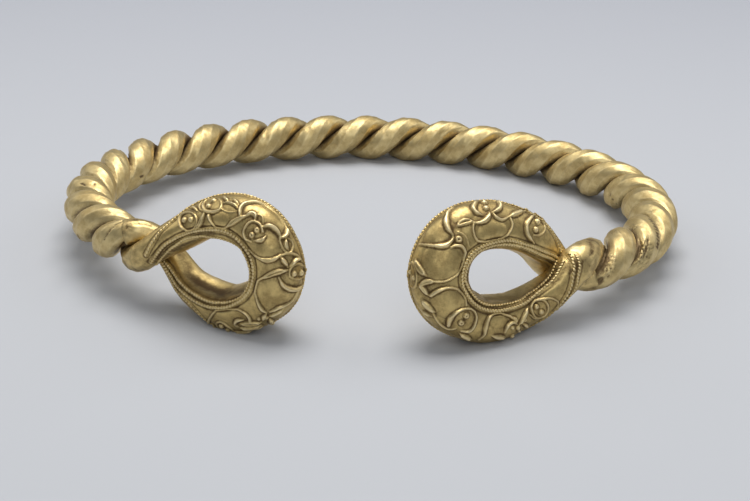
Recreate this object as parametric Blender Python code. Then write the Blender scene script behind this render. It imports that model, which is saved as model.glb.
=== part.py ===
"""Gold torc: two rods twisted into an oval rope hoop, with a cast loop on each end.

Metres, +Z up.  The torc lies at rest: it stands on the two loops and on the back of
the hoop, with the gap between the loops towards -Y.  The hoop is first worked out in a
plane of its own, centred on its middle, and then tipped into the resting pose.
"""
from dataclasses import dataclass
from math import atan2, cos, pi, radians, sin

import bmesh
import bpy
import numpy as np

# --- hoop and rope -----------------------------------------------------------------
HOOP_HALF_WIDTH = 0.085       # middle of the rope, side to side
HOOP_HALF_DEPTH = 0.070       # middle of the rope, front to back
HOOP_WAVE = 0.0003            # the back and the front lie this far above the sides
ROD_RADIUS = 0.00355
ROD_OFFSET = 0.00372          # middle of the rope to the middle of a rod
HALF_TURNS = 26               # of the rope between the crossings of the two loops
TWIST_DRIFT = 0.29            # radians by which the twist runs ahead a quarter of the way round
ROD_STATIONS = 160            # points along a rod
BEND_RADIUS = 0.036           # with which the hoop turns in towards each loop
SEAM = 0.009                  # crossing to the seam where a cast loop ends on the rods
JOINT_GAP = 0.0003
SPINE_STEP = 0.0005           # spacing at which the middle line of the rope is worked out
BEND_SAMPLES = 200            # points that a bend is worked out from
OVAL_SAMPLES = 2000           # points that the oval is worked out from
END_NUDGE = 0.1               # part of the gap; a last short length squares each end of a rod
ROD_RESOLUTION = 3            # of a rod's round section
WELD = 1e-6

# --- loops -------------------------------------------------------------------------
STUB_THICKNESS = 0.0071       # of a cast limb where the two limbs cross
CROSSING_REACH = 0.35         # part of a loop's length over which its limbs come side by side
SOFTEN_REACH = 0.25           # part of a loop's length over which a limb leaves the twist
INNER_SQUARENESS = 3.0        # how much squarer than a circle the side facing the eye is
INNER_SHARE = 0.18            # shift of the widest line of a section towards the eye
GROWTH_SPAN = 0.6             # growth in thickness over which a section turns from round to full
LOOP_STATIONS = 56            # sections along a loop
LOOP_SAMPLES = 1200           # points that the middle line of a loop is worked out from
STUB_SAMPLES = 80             # points that a stub is worked out from
SECTION_ANGLES = (0, 30, 60, 90, 125, 155, 180, 205, 235, 270, 300, 330)
WIDTH_STATIONS = (0.0, 0.125, 0.3, 0.5, 0.7, 0.875, 1.0)    # parts of the way round a loop

# --- resting pose ------------------------------------------------------------------
REST_TILT = radians(3.85)     # front raised by the loops
REST_LEAN = radians(1.0)      # right side lowered
HOOP_CENTRE = (0.00023, 0.0003, 0.0115)   # sunk a little, so that small flats are cut to stand on

# --- ground and finish -------------------------------------------------------------
GROUND_SIZE = 0.4
GROUND_THICKNESS = 0.02
SHARP_ANGLE = radians(50.0)
GOLD = (0.62, 0.47, 0.20, 1.0)
ROD_ROUGHNESS = 0.32
LOOP_ROUGHNESS = 0.36


@dataclass(frozen=True)
class Loop:
    """Sizes of one cast loop.  Its first limb runs on from the rod in front at the crossing."""
    name: str
    side: int                 # -1 at the left end of the hoop, +1 at the right end
    bend_from: float          # hoop parameter where the hoop starts to turn in
    heading: float            # of the loop's long axis, below the X axis
    lean: float               # about the long axis
    turn: float               # in the loop's own plane
    length: float             # crossing to far end, along the middle of the limbs
    first_height: float
    second_height: float
    first_fullness: float
    second_fullness: float
    widths: tuple
    depths: tuple


LOOPS = (
    Loop("left_terminal", -1, radians(55.8), radians(28.0), radians(0.5), radians(5.3), 0.0411,
         0.0178, 0.0167, 1.15, 0.60,
         (0.0071, 0.0077, 0.0100, 0.0120, 0.0096, 0.0068, 0.0071),
         (0.0071, 0.0090, 0.0150, 0.0152, 0.0150, 0.0090, 0.0071)),
    Loop("right_terminal", 1, radians(47.5), radians(25.9), radians(11.0), radians(-5.7), 0.0408,
         0.0154, 0.0166, 0.54, 0.93,
         (0.0071, 0.0092, 0.0108, 0.0141, 0.0120, 0.0090, 0.0071),
         (0.0071, 0.0090, 0.0146, 0.0156, 0.0146, 0.0090, 0.0071)),
)


def smooth_step(value):
    """Rise smoothly from 0 to 1 while value goes from 0 to 1."""
    clipped = np.clip(value, 0.0, 1.0)
    return clipped * clipped * (3.0 - 2.0 * clipped)


def unit(vectors):
    """Scale each row to length one."""
    return vectors / np.linalg.norm(vectors, axis=-1, keepdims=True)


def hoop_points(parameter):
    """Points on the oval; parameter 0 is the front, and it grows anticlockwise from above."""
    return np.stack([HOOP_HALF_WIDTH * np.sin(parameter),
                     -HOOP_HALF_DEPTH * np.cos(parameter),
                     HOOP_WAVE * np.cos(2.0 * parameter)], axis=-1)


class LoopFrame:
    """The crossing point of a loop and its axes: along, across and outward."""

    def __init__(self, loop):
        start = hoop_points(loop.side * loop.bend_from)
        oval_heading = atan2(HOOP_HALF_DEPTH * sin(loop.bend_from),
                             HOOP_HALF_WIDTH * cos(loop.bend_from))
        self.bend = oval_heading - loop.heading
        self.side = loop.side
        self.start = start
        self.start_along = np.array([-loop.side * cos(oval_heading), -sin(oval_heading), 0.0])
        self.start_inward = np.array([-loop.side * sin(oval_heading), cos(oval_heading), 0.0])
        self.origin = self.bend_points(np.array([1.0]))[0]
        self.along = cos(self.bend) * self.start_along + sin(self.bend) * self.start_inward
        self.outward = sin(self.bend) * self.start_along - cos(self.bend) * self.start_inward
        self.across = np.cross(self.outward, self.along)

    def bend_points(self, share):
        """Points on the bend from the oval (share 0) to the crossing (share 1)."""
        angle = share[:, None] * self.bend
        return (self.start + BEND_RADIUS * np.sin(angle) * self.start_along
                + BEND_RADIUS * (1.0 - np.cos(angle)) * self.start_inward)


class Spine:
    """Middle line of the rope, from the left crossing round the back to the right one."""

    def __init__(self, left, right):
        share = np.linspace(0.0, 1.0, BEND_SAMPLES)
        oval = np.linspace(-LOOPS[0].bend_from, LOOPS[1].bend_from - 2.0 * pi, OVAL_SAMPLES)
        points = np.concatenate([left.bend_points(share[::-1]), hoop_points(oval)[1:-1],
                                 right.bend_points(share)])
        steps = np.linalg.norm(np.diff(points, axis=0), axis=1)
        distance = np.concatenate([[0.0], np.cumsum(steps)])
        self.length = distance[-1]
        self.stations = np.linspace(0.0, self.length, int(self.length / SPINE_STEP))
        self.points = np.stack([np.interp(self.stations, distance, points[:, axis])
                                for axis in range(3)], axis=-1)
        along = unit(np.gradient(self.points, axis=0))
        self.outward = unit(np.cross([0.0, 0.0, 1.0], along))
        self.up = np.cross(along, self.outward)

    def at(self, distance):
        """Point, outward axis and up axis at each distance from the left crossing."""
        return [np.stack([np.interp(distance, self.stations, values[:, axis])
                          for axis in range(3)], axis=-1)
                for values in (self.points, self.outward, self.up)]

    def twist(self, distance):
        """Angle of the first rod about the spine, from outward towards up."""
        share = distance / self.length
        return -pi * HALF_TURNS * share + TWIST_DRIFT * np.sin(2.0 * pi * share)

    def rod_points(self, distance, half_turn):
        """Middle of a rod; half_turn is 0 for the first rod and pi for the second."""
        point, outward, up = self.at(distance)
        angle = (self.twist(distance) + half_turn)[:, None]
        return point + ROD_OFFSET * (np.cos(angle) * outward + np.sin(angle) * up)


def to_rest(points):
    """Tip points from the hoop's own plane into the resting pose."""
    tilt = np.array([[1, 0, 0],
                     [0, cos(REST_TILT), sin(REST_TILT)],
                     [0, -sin(REST_TILT), cos(REST_TILT)]])
    lean = np.array([[cos(REST_LEAN), 0, sin(REST_LEAN)],
                     [0, 1, 0],
                     [-sin(REST_LEAN), 0, cos(REST_LEAN)]])
    return points @ (lean @ tilt).T + np.array(HOOP_CENTRE)


def limb_line(loop, frame, spine):
    """Middle line of a loop from seam to seam, with its outward axis and its share of the way.

    The line comes in along the rod that is in front at the crossing, goes round the eye
    and leaves along the other rod.  The share stays at 0 and 1 on the two stubs.
    """
    around = np.linspace(0.0, 2.0 * pi, LOOP_SAMPLES)
    reach = 0.5 * loop.length * (1.0 - np.cos(around))
    first = around <= pi
    fullness = np.where(first, loop.first_fullness, loop.second_fullness)
    height = np.where(first, loop.first_height, loop.second_height)
    swing = np.sin(around) * np.abs(np.sin(around / 2.0)) ** fullness * height
    twist_rate = pi * HALF_TURNS / spine.length
    straight = np.where(first, 1.0, -1.0) * ROD_OFFSET * twist_rate * reach
    leaving = smooth_step(reach / (SOFTEN_REACH * loop.length))
    across = straight + (swing - straight) * leaving
    closing = np.clip(reach / (CROSSING_REACH * loop.length), 0.0, 1.0)
    outward = np.where(first, 0.5, -0.5) * ROD_OFFSET * (1.0 + np.cos(pi * closing))

    stub = np.linspace(-SEAM, 0.0, STUB_SAMPLES)[:-1]
    stub_across = ROD_OFFSET * np.sin(twist_rate * stub)
    stub_outward = ROD_OFFSET * np.cos(twist_rate * stub)
    reach = np.concatenate([stub, reach, stub[::-1]])
    across = np.concatenate([stub_across, across, -stub_across[::-1]])
    outward = np.concatenate([stub_outward, outward, -stub_outward[::-1]])
    share = np.concatenate([np.zeros(len(stub)), around / (2.0 * pi), np.ones(len(stub))])

    fade = smooth_step((reach + SEAM) / (2.0 * SEAM))
    lean, turn = loop.lean * fade, loop.turn * fade
    ahead = np.maximum(reach, 0.0)
    turned_along = ahead * np.cos(turn) - across * np.sin(turn)
    turned_across = ahead * np.sin(turn) + across * np.cos(turn)
    leaned_across = turned_across * np.cos(lean) - outward * np.sin(lean)
    leaned_outward = turned_across * np.sin(lean) + outward * np.cos(lean)

    back_distance = np.maximum(-reach, 0.0)
    distance = back_distance if loop.side < 0 else spine.length - back_distance
    origin, spine_outward, _ = spine.at(distance)
    spine_along = np.cross(np.tile(frame.across, (len(reach), 1)), spine_outward)
    points = (origin + turned_along[:, None] * spine_along
              + leaned_across[:, None] * frame.across + leaned_outward[:, None] * spine_outward)
    facing = (-np.sin(lean)[:, None] * frame.across + np.cos(lean)[:, None] * spine_outward)
    return points, facing, share


def section_ring(angle, width, depth):
    """A section's outline: offsets away from the eye and outward, at one angle each.

    It is round at the crossing and grows a flat side towards the eye as it widens.
    """
    growth = smooth_step((depth / STUB_THICKNESS - 1.0) / GROWTH_SPAN)
    middle = -INNER_SHARE * width * growth
    power = 2.0 / (2.0 + INNER_SQUARENESS * growth)
    cosine, sine = cos(angle), sin(angle)
    faces_away = angle <= 0.5 * pi or angle >= 1.5 * pi
    if faces_away:
        return middle + (0.5 * width - middle) * cosine, 0.5 * depth * sine
    return (middle - (0.5 * width + middle) * abs(cosine) ** power,
            0.5 * depth * abs(sine) ** power * (1.0 if sine > 0.0 else -1.0))


def cubic(sizes, share):
    """Monotone cubic curve through the sizes at the width stations."""
    stations = np.array(WIDTH_STATIONS)
    values = np.array(sizes)
    slopes = np.diff(values) / np.diff(stations)
    tangents = np.zeros(len(values))
    inner = slopes[:-1] * slopes[1:] > 0.0
    tangents[1:-1] = np.where(inner, 2.0 * slopes[:-1] * slopes[1:]
                              / np.where(inner, slopes[:-1] + slopes[1:], 1.0), 0.0)
    index = np.clip(np.searchsorted(stations, share, side="right") - 1, 0, len(slopes) - 1)
    span = stations[index + 1] - stations[index]
    step = (share - stations[index]) / span
    rise = smooth_step(step)
    return (values[index] * (1.0 - rise) + values[index + 1] * rise
            + span * step * (1.0 - step) * ((1.0 - step) * tangents[index]
                                            - step * tangents[index + 1]))


def loft(name, rings, collection, material):
    """Make a closed mesh object from equal rings of points, with a flat cap on each end."""
    mesh = bpy.data.meshes.new(name)
    build = bmesh.new()
    rows = [[build.verts.new(point) for point in ring] for ring in rings]
    count = len(rows[0])
    for row, following in zip(rows, rows[1:]):
        for corner in range(count):
            beside = (corner + 1) % count
            build.faces.new((row[corner], row[beside], following[beside], following[corner]))
    build.faces.new(rows[0][::-1])
    build.faces.new(rows[-1])
    bmesh.ops.recalc_face_normals(build, faces=build.faces)
    build.to_mesh(mesh)
    build.free()
    return finish(name, mesh, collection, material)


def finish(name, mesh, collection, material):
    """Shade a mesh, give it its material and link it as an object."""
    mesh.shade_smooth()
    mesh.set_sharp_from_angle(angle=SHARP_ANGLE)
    mesh.materials.clear()
    mesh.materials.append(material)
    piece = bpy.data.objects.new(name, mesh)
    collection.objects.link(piece)
    return piece


def gold(name, roughness):
    """A plain gold material."""
    material = bpy.data.materials.new(name)
    material.use_nodes = True
    shader = material.node_tree.nodes["Principled BSDF"]
    shader.inputs["Base Color"].default_value = GOLD
    shader.inputs["Metallic"].default_value = 1.0
    shader.inputs["Roughness"].default_value = roughness
    return material


def build_rod(name, half_turn, spine, collection, material):
    """One rod of the rope: a tube along its helix, from seam to seam."""
    inset = SEAM + JOINT_GAP
    run = np.linspace(inset, spine.length - inset, ROD_STATIONS)
    nudge = END_NUDGE * JOINT_GAP
    distance = np.concatenate([[run[0], run[0] + nudge], run[1:-1], [run[-1] - nudge, run[-1]]])
    points = to_rest(spine.rod_points(distance, half_turn))
    curve = bpy.data.curves.new(name, "CURVE")
    curve.dimensions = "3D"
    curve.bevel_depth = ROD_RADIUS
    curve.bevel_resolution = ROD_RESOLUTION
    curve.use_fill_caps = True
    spline = curve.splines.new("POLY")
    spline.points.add(len(points) - 1)
    for point, place in zip(spline.points, points):
        point.co = (*place, 1.0)
    guide = bpy.data.objects.new(name + "_guide", curve)
    collection.objects.link(guide)
    bpy.context.view_layer.update()
    evaluated = guide.evaluated_get(bpy.context.evaluated_depsgraph_get())
    mesh = bpy.data.meshes.new_from_object(evaluated)
    weld = bmesh.new()
    weld.from_mesh(mesh)
    bmesh.ops.remove_doubles(weld, verts=weld.verts, dist=WELD)
    weld.to_mesh(mesh)
    weld.free()
    bpy.data.objects.remove(guide)
    mesh.name = name
    return finish(name, mesh, collection, material)


def build_loop(loop, frame, spine, collection, material):
    """One cast loop: sections set square to its middle line, seam to seam."""
    points, facing, share = limb_line(loop, frame, spine)
    steps = np.linalg.norm(np.diff(points, axis=0), axis=1)
    distance = np.concatenate([[0.0], np.cumsum(steps)])
    along = unit(np.gradient(points, axis=0))
    even = np.linspace(0.0, distance[-1], LOOP_STATIONS)

    def read(values):
        """Values at evenly spaced stations along the middle line."""
        return np.stack([np.interp(even, distance, values[:, axis])
                         for axis in range(values.shape[1])], axis=-1)

    middle, tangent, outward = read(points), unit(read(along)), read(facing)
    share = np.interp(even, distance, share)
    away = unit(np.cross(outward, tangent))
    outward = np.cross(tangent, away)
    widths, depths = cubic(loop.widths, share), cubic(loop.depths, share)
    rings = []
    for station in range(LOOP_STATIONS):
        offsets = [section_ring(radians(angle), widths[station], depths[station])
                   for angle in SECTION_ANGLES]
        rings.append(to_rest(np.array([middle[station] + offset[0] * away[station]
                                       + offset[1] * outward[station] for offset in offsets])))
    return loft(loop.name, rings, collection, material)


def cut_flat(piece, ground):
    """Cut away what dips below the ground, which leaves small flats to stand on."""
    cut = piece.modifiers.new("rest_flat", "BOOLEAN")
    cut.operation = "DIFFERENCE"
    cut.solver = "EXACT"
    cut.object = ground


def main():
    """Build the torc."""
    for old in list(bpy.data.objects):
        bpy.data.objects.remove(old)
    parts = bpy.data.collections.new("gold_torc")
    cutters = bpy.data.collections.new("cutters")
    for collection in (parts, cutters):
        bpy.context.scene.collection.children.link(collection)

    frames = [LoopFrame(loop) for loop in LOOPS]
    spine = Spine(*frames)

    bpy.ops.mesh.primitive_cube_add(size=1.0, location=(0.0, 0.0, -0.5 * GROUND_THICKNESS))
    ground = bpy.context.object
    ground.name = "ground_cutter"
    ground.scale = (GROUND_SIZE, GROUND_SIZE, GROUND_THICKNESS)
    ground.hide_render = True
    ground.display_type = "WIRE"
    for collection in ground.users_collection:
        collection.objects.unlink(ground)
    cutters.objects.link(ground)

    pieces = []
    for name, half_turn in (("rod_one", 0.0), ("rod_two", pi)):
        metal = gold(name + "_gold", ROD_ROUGHNESS)
        pieces.append(build_rod(name, half_turn, spine, parts, metal))
    for loop, frame in zip(LOOPS, frames):
        metal = gold(loop.name + "_gold", LOOP_ROUGHNESS)
        pieces.append(build_loop(loop, frame, spine, parts, metal))
    for piece in pieces:
        cut_flat(piece, ground)


main()
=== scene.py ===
"""Gold torc: a rope of two faceted rods, with a cast and ornamented loop on each end.

The shapes follow the same few formulas as the plain model.  The middle line of the rope follows
an oval and turns in at each end to the crossing of a loop, and the two rods wind about it.  A
loop leaves one rod at its crossing, goes round its eye and comes back to the other rod.

A place on a loop is given by its station, in millimetres along the middle line from the first
seam, and by its angle round the section in degrees: 0 away from the eye, 90 to the front, 180
towards the eye and 270 to the back.  A place on a rod is given by its distance along the rope
in millimetres and by its angle round the rod in radians: 0 away from the middle of the rope,
and half a turn towards the other rod.
"""
import logging
from dataclasses import dataclass, replace
from enum import Enum
from math import atan2, cos, hypot, pi, radians, sin
from typing import Any, Sequence

import bmesh
import bpy
import numpy as np
from mathutils import Matrix, Vector


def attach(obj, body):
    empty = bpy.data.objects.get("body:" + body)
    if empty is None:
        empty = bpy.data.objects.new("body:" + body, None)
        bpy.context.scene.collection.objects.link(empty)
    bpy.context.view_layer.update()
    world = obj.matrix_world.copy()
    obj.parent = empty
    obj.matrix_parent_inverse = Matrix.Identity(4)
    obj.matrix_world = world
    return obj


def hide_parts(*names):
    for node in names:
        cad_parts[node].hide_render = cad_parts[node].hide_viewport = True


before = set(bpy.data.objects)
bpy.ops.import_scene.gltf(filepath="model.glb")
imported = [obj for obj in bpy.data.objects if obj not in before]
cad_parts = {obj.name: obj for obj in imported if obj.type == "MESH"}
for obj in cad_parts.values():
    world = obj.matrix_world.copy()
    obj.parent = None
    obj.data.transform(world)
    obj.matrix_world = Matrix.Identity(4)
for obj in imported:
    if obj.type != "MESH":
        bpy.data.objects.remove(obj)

LOG = logging.getLogger("gold_torc")
MM = 0.001
BODY = "root"
STRAND_STRETCH = 1.285  # length along a wound rod for each length along the rope
TINY = 1e-14  # keeps a division by a squared length safe
Array = np.ndarray
Place = tuple[float, float]  # or the reach of something about its place
Path = tuple[Place, ...]
GridPart = tuple[slice, slice]
Triple = tuple[float, float, float]
Colour = tuple[float, float, float, float]
Socket = bpy.types.NodeSocket
Tree = bpy.types.NodeTree
Piece = bpy.types.Object
Material = bpy.types.Material


# --- small helpers ---
def smooth_step(value: Array) -> Array:
    """Rise smoothly from 0 to 1 while value goes from 0 to 1."""
    clipped = np.clip(value, 0.0, 1.0)
    return clipped * clipped * (3.0 - 2.0 * clipped)


def rise(value: Array, start: float, span: float) -> Array:
    """Rise smoothly from 0 to 1 over a span that begins at start."""
    return smooth_step((value - start) / span)


def unit(vectors: Array) -> Array:
    """Scale each row to length one."""
    return vectors / np.linalg.norm(vectors, axis=-1, keepdims=True)


def read_rows(at: Array, known: Array, rows: Array) -> Array:
    """Read rows of vectors between their known places.

    Args:
        at: places to read, of any shape.
        known: growing places of the rows.
        rows: one vector for each known place.

    Returns:
        A vector for each place.
    """
    return np.stack([np.interp(at, known, rows[:, axis]) for axis in range(rows.shape[1])], axis=-1)


def running_length(points: Array) -> Array:
    """Length along a line of points, from its start to each point."""
    steps = np.linalg.norm(np.diff(points, axis=0), axis=1)
    return np.concatenate([[0.0], np.cumsum(steps)])


def smooth_line(points: Sequence[Place], closed: bool, pieces: int = 14) -> Array:
    """Draw a Catmull-Rom curve through a few places.

    Args:
        points: the places that the curve goes through.
        closed: whether it runs back to its first place.
        pieces: short steps between two places.

    Returns:
        The places along the curve, as rows.
    """
    knots = np.array(points, dtype=float)
    if closed:
        knots = np.concatenate([knots[-1:], knots, knots[:2]])
    else:
        knots = np.concatenate([2.0 * knots[:1] - knots[1:2], knots, 2.0 * knots[-1:] - knots[-2:-1]])
    step = np.linspace(0.0, 1.0, pieces, endpoint=False)[:, None]
    rows = []
    for before, start, end, after in zip(knots, knots[1:], knots[2:], knots[3:]):
        rows.append(start + 0.5 * step * (end - before
                                          + step * (2.0 * before - 5.0 * start + 4.0 * end - after
                                                    + step * (3.0 * (start - end) + after - before))))
    rows.append(knots[-2:-1])
    return np.concatenate(rows)


@dataclass(frozen=True)
class Unevenness:
    """Soft unevenness of hand work: many waves of one rough length, added up."""

    wavelength: float
    height: float
    seed: int
    waves: int = 26
    length_range: Place = (0.6, 1.7)

    def at(self, points: Array) -> Array:
        """Height of the unevenness at each point.

        Args:
            points: rows of points.

        Returns:
            A height for each point.
        """
        draw = np.random.default_rng(self.seed)
        headings = unit(draw.normal(size=(self.waves, 3)))
        lengths = self.wavelength * draw.uniform(*self.length_range, self.waves)
        phases = draw.uniform(0.0, 2.0 * pi, self.waves)
        total = np.zeros(points.shape[:-1])
        for heading, length, phase in zip(headings, lengths, phases):
            total += np.sin(2.0 * pi * (points @ heading) / length + phase)
        return self.height * total / np.sqrt(0.5 * self.waves)


# --- the hoop ---
@dataclass(frozen=True)
class Hoop:
    """The oval that the middle of the rope follows, and how it lies at rest."""

    half_width: float = 0.085
    half_depth: float = 0.070
    wave: float = 0.0003
    bend_radius: float = 0.036
    tilt: float = radians(3.85)
    lean: float = radians(1.0)
    centre: Triple = (0.00023, 0.0003, 0.0115)

    def oval(self, parameter: Array) -> Array:
        """Points on the oval: 0 is the front, and it grows anticlockwise from above."""
        return np.stack([self.half_width * np.sin(parameter), -self.half_depth * np.cos(parameter),
                         self.wave * np.cos(2.0 * parameter)], axis=-1)

    def turning(self) -> Array:
        """Matrix that tips the hoop from its own plane into the resting pose.

        Returns:
            The 3 by 3 matrix.
        """
        tilt = np.array([[1, 0, 0], [0, cos(self.tilt), sin(self.tilt)],
                         [0, -sin(self.tilt), cos(self.tilt)]])
        lean = np.array([[cos(self.lean), 0, sin(self.lean)], [0, 1, 0],
                         [-sin(self.lean), 0, cos(self.lean)]])
        return lean @ tilt

    def to_rest(self, points: Array) -> Array:
        """Tip points from the hoop's own plane into the resting pose."""
        return points @ self.turning().T + np.array(self.centre)


@dataclass(frozen=True)
class LoopShape:
    """Sizes of one cast loop.  Its first limb runs on from the rod in front at the crossing."""

    side: int
    bend_from: float
    heading: float
    lean: float
    turn: float
    length: float
    first_height: float
    second_height: float
    first_fullness: float
    second_fullness: float
    widths: tuple[float, ...]
    depths: tuple[float, ...]
    width_stations: tuple[float, ...] = (0.0, 0.125, 0.3, 0.5, 0.7, 0.875, 1.0)

    def size_at(self, sizes: tuple[float, ...], share: Array) -> Array:
        """Monotone cubic curve through the sizes at the width stations.

        Args:
            sizes: one for each width station.
            share: shares of the way round the loop.

        Returns:
            The size at each share.
        """
        stations, values = np.array(self.width_stations), np.array(sizes)
        slopes = np.diff(values) / np.diff(stations)
        tangents = np.zeros(len(values))
        same_way = slopes[:-1] * slopes[1:] > 0.0
        total = np.where(same_way, slopes[:-1] + slopes[1:], 1.0)
        tangents[1:-1] = np.where(same_way, 2.0 * slopes[:-1] * slopes[1:] / total, 0.0)
        index = np.clip(np.searchsorted(stations, share, side="right") - 1, 0, len(slopes) - 1)
        span = stations[index + 1] - stations[index]
        step = (share - stations[index]) / span
        eased = smooth_step(step)
        bulge = (1.0 - step) * tangents[index] - step * tangents[index + 1]
        return values[index] * (1.0 - eased) + values[index + 1] * eased + span * step * (1.0 - step) * bulge


class LoopFrame:
    """The crossing point of a loop and its axes: along, across and outward."""

    def __init__(self, shape: LoopShape, hoop: Hoop) -> None:
        """Find where the oval ends and which way the loop heads.

        Args:
            shape: the loop's sizes.
            hoop: the hoop that it sits on.
        """
        oval_heading = atan2(hoop.half_depth * sin(shape.bend_from),
                             hoop.half_width * cos(shape.bend_from))
        self.radius = hoop.bend_radius
        self.bend = oval_heading - shape.heading
        self.start = hoop.oval(np.array(shape.side * shape.bend_from))
        self.start_along = np.array([-shape.side * cos(oval_heading), -sin(oval_heading), 0.0])
        self.start_inward = np.array([-shape.side * sin(oval_heading), cos(oval_heading), 0.0])
        along = cos(self.bend) * self.start_along + sin(self.bend) * self.start_inward
        self.outward = sin(self.bend) * self.start_along - cos(self.bend) * self.start_inward
        self.across = np.cross(self.outward, along)

    def bend_points(self, share: Array) -> Array:
        """Points on the bend from the oval (share 0) to the crossing (share 1)."""
        angle = share[:, None] * self.bend
        return (self.start + self.radius * np.sin(angle) * self.start_along
                + self.radius * (1.0 - np.cos(angle)) * self.start_inward)


@dataclass
class Spine:
    """Middle line of the rope, from the left crossing round the back to the right one."""

    hoop: Hoop
    left: LoopShape
    right: LoopShape
    half_turns: int = 26
    twist_drift: float = 0.29
    rod_offset: float = 0.00372
    step: float = 0.0005
    bend_samples: int = 200
    oval_samples: int = 2000

    def __post_init__(self) -> None:
        """Lay out the line and its outward and up axes."""
        self.frames = {-1: LoopFrame(self.left, self.hoop), 1: LoopFrame(self.right, self.hoop)}
        share = np.linspace(0.0, 1.0, self.bend_samples)
        oval = np.linspace(-self.left.bend_from, self.right.bend_from - 2.0 * pi, self.oval_samples)
        points = np.concatenate([self.frames[-1].bend_points(share[::-1]), self.hoop.oval(oval)[1:-1],
                                 self.frames[1].bend_points(share)])
        distance = running_length(points)
        self.length = distance[-1]
        self.stations = np.linspace(0.0, self.length, int(self.length / self.step))
        self.points = read_rows(self.stations, distance, points)
        along = unit(np.gradient(self.points, axis=0))
        self.outward = unit(np.cross([0.0, 0.0, 1.0], along))
        self.up = np.cross(along, self.outward)

    def at(self, distance: Array) -> tuple[Array, Array, Array]:
        """Point, outward axis and up axis at each distance from the left crossing."""
        return (read_rows(distance, self.stations, self.points),
                read_rows(distance, self.stations, self.outward),
                read_rows(distance, self.stations, self.up))


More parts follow.
